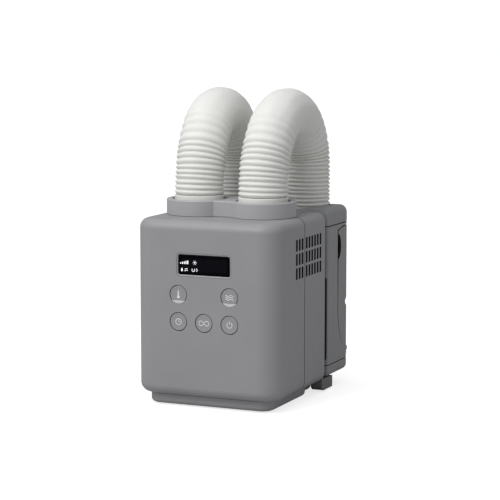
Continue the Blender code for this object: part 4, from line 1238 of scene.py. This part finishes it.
def makeNozzleBase():
    seam = nozzle["seam"]
    piece = nozzleBlock("nozzle_trunk_right", nozzle["tipTop"] + seam, nozzle["capBottom"] - seam,
                        spigot=seam - 0.0002)
    carve(piece, alongX("flap space", flapOutline(nozzle["gap"])))
    channel = nozzleBlock("channel", 0.0330, 0.2, wall=nozzle["wall"])
    back = [(0.0847, 0.020), (0.1257, 0.020), (0.1257, 0.052), (0.0847, 0.060)]
    carve(channel, alongX("solid back", back))
    carve(piece, channel, knuckle(*nozzle["knuckles"][1], 0.0004, 1))
    for low, high in (nozzle["knuckles"][0], nozzle["knuckles"][2]):
        carve(piece, knuckle(low, high, 0.0, -1), operation="UNION")
    carve(piece, pinHole())
    # the faces lining the flap's gap are painted black: painted shade in the gap
    y = nozzle["split"] - 0.01
    paintFaces(piece, rubberAndGapShade, (0, y, 0.05), (0.1, y + 0.03, 0.192), (0, 1, 0), 0.2)
    paintFaces(piece, rubberAndGapShade, (0, y, 0.186), (0.1, nozzle["backY"], 0.1924), (0, 0, -1), 0.5)
    return piece


def makeNozzleFlap():
    low = nozzle["tipTop"] + nozzle["seam"]
    piece = nozzleBlock("nozzle_door_right", low, nozzle["capBottom"] - nozzle["seam"])
    carve(piece, alongX("flap side", flapOutline(0.0)), operation="INTERSECT")
    carve(piece, fingerCut())
    wall = nozzle["wall"]
    radius = nozzle["radius"] - wall
    left, right = nozzle["left"] + wall, nozzle["right"] - wall
    loop = plate(left, right, 0.0657, nozzle["backY"] - wall, radius, radius, 8)
    for bottom, top in ((0.0560, 0.0860), (0.1090, 0.1825)):
        carve(piece, prisms("pocket", loop, [(0, 0)], bottom, top, "Z"))
    groove = circle(1.0, 48) * (0.0105, 0.0056)
    carve(piece, prisms("grip", groove, [(nozzle["backY"], 0.0977)], -0.1, 0.1, "X"))
    for low, high in (nozzle["knuckles"][0], nozzle["knuckles"][2]):
        carve(piece, knuckle(low, high, 0.0004, -1))
    carve(piece, knuckle(*nozzle["knuckles"][1], 0.0, 1), operation="UNION")
    carve(piece, pinHole())
    # the flap's edge faces are painted black: painted shade in the gap
    y = nozzle["split"] - 0.001
    paintFaces(piece, rubberAndGapShade, (0, y, 0.05), (0.1, y + 0.021, 0.189), (0, -1, 0), 0.2)
    return piece


def makeNozzleCap():
    low, high = span("nozzle_cap_right")
    piece = nozzleBlock("nozzle_cap_cover_right", low[2], high[2], highEdge=0.009)
    profile = [(0, 0.18), (0.0245, 0.18), (0.0245, 0.2070), (0.0289, 0.2070), (0.0289, 0.22), (0, 0.22)]
    return carve(piece, turned("socket", "Z", (hose["socketX"], hose["socketY"], 0), profile, steps=96))


def makeNozzleTip():
    low, high = span("nozzle_tip_right")
    return nozzleBlock("nozzle_end_right", low[2], high[2], lowEdge=0.007, spigot=nozzle["seam"] - 0.0002)


nozzleParts = {"nozzle_base": makeNozzleBase, "nozzle_flap": makeNozzleFlap, "nozzle_cap": makeNozzleCap,
               "nozzle_tip": makeNozzleTip}
for node, make in nozzleParts.items():
    right = make()
    left = mirrored(right, right.name.replace("right", "left"))
    for piece, side in ((right, "_right"), (left, "_left")):
        standFor(soften(piece, nozzle["lip"], 3), node + side)

for side in ("left", "right"):
    low, high = span("nozzle_pin_" + side)
    radius = nozzle["pin"]
    profile = [(0, low[0]), (radius * 0.7, low[0]), (radius, low[0] + 0.0004), (radius, high[0] - 0.0004),
               (radius * 0.7, high[0]), (0, high[0])]
    pin = turned("hinge_pin_" + side, "X", (0, nozzle["hingeY"], nozzle["hingeZ"]), profile, platedSteel, 32)
    standFor(soften(pin, 0), "nozzle_pin_" + side)

buffer = {"front": 0.0022, "inset": 0.0012, "low": 0.0360, "high": 0.1335, "corner": 0.003}
for side, way in (("left", -1), ("right", 1)):
    edge = buffer["inset"]
    loop = plate(nozzle["left"] + edge, nozzle["right"] - edge, buffer["low"], buffer["high"],
                 buffer["corner"], buffer["corner"], 8)
    if way < 0:
        loop = loop[::-1] * (-1, 1)
    depths = (nozzle["frontY"] - buffer["front"], nozzle["frontY"] + 0.0004)
    pad = prisms("buffer_" + side, loop, [(0, 0)], *depths, "Y", rubberAndGapShade)
    attach(soften(pad, 0.0005, 3), "body")
print("nozzles: two, each of four pieces, a pin and a buffer pad")


# cradle, cord inlet and what is inside the casing

# the cradle's darker tint partly paints the shade under the casing
standFor(refined("nozzle_cradle", "cradle", cradlePlasticAndShade, 0.0012), "nozzle_cradle")
standFor(refined("cord_gland", "gland", blackPlasticAndShade, 0.0002, 40), "cord_gland")

slotMaterials = {"black_plastic": blackPlasticAndShade, "circuit_board": circuitBoard, "steel": platedSteel,
                 "heater_ceramic": heaterCeramic}
insides = {
    "display_module": "black_plastic", "control_board": "circuit_board", "power_board": "circuit_board",
    "fan_housing": "black_plastic", "heater_frame": "black_plastic", "outlet_duct": "black_plastic",
    "fan_motor": "steel", "thermal_fuse": "steel", "heater_core": "heater_ceramic",
}
for name, slot in insides.items():
    standFor(refined(name, name + "_body", slotMaterials[slot], 0.0002), name)
for label in buttons:
    switch = "switch_" + label
    standFor(refined(switch, "tact_" + label, blackPlasticAndShade, 0.0003), switch)
frame["nodes"]["impeller"].material_slots[0].material = blackPlasticAndShade
frame["nodes"]["motor_shaft"].material_slots[0].material = platedSteel
print("inside: boards, blower, heater, duct and", len(buttons), "switches")
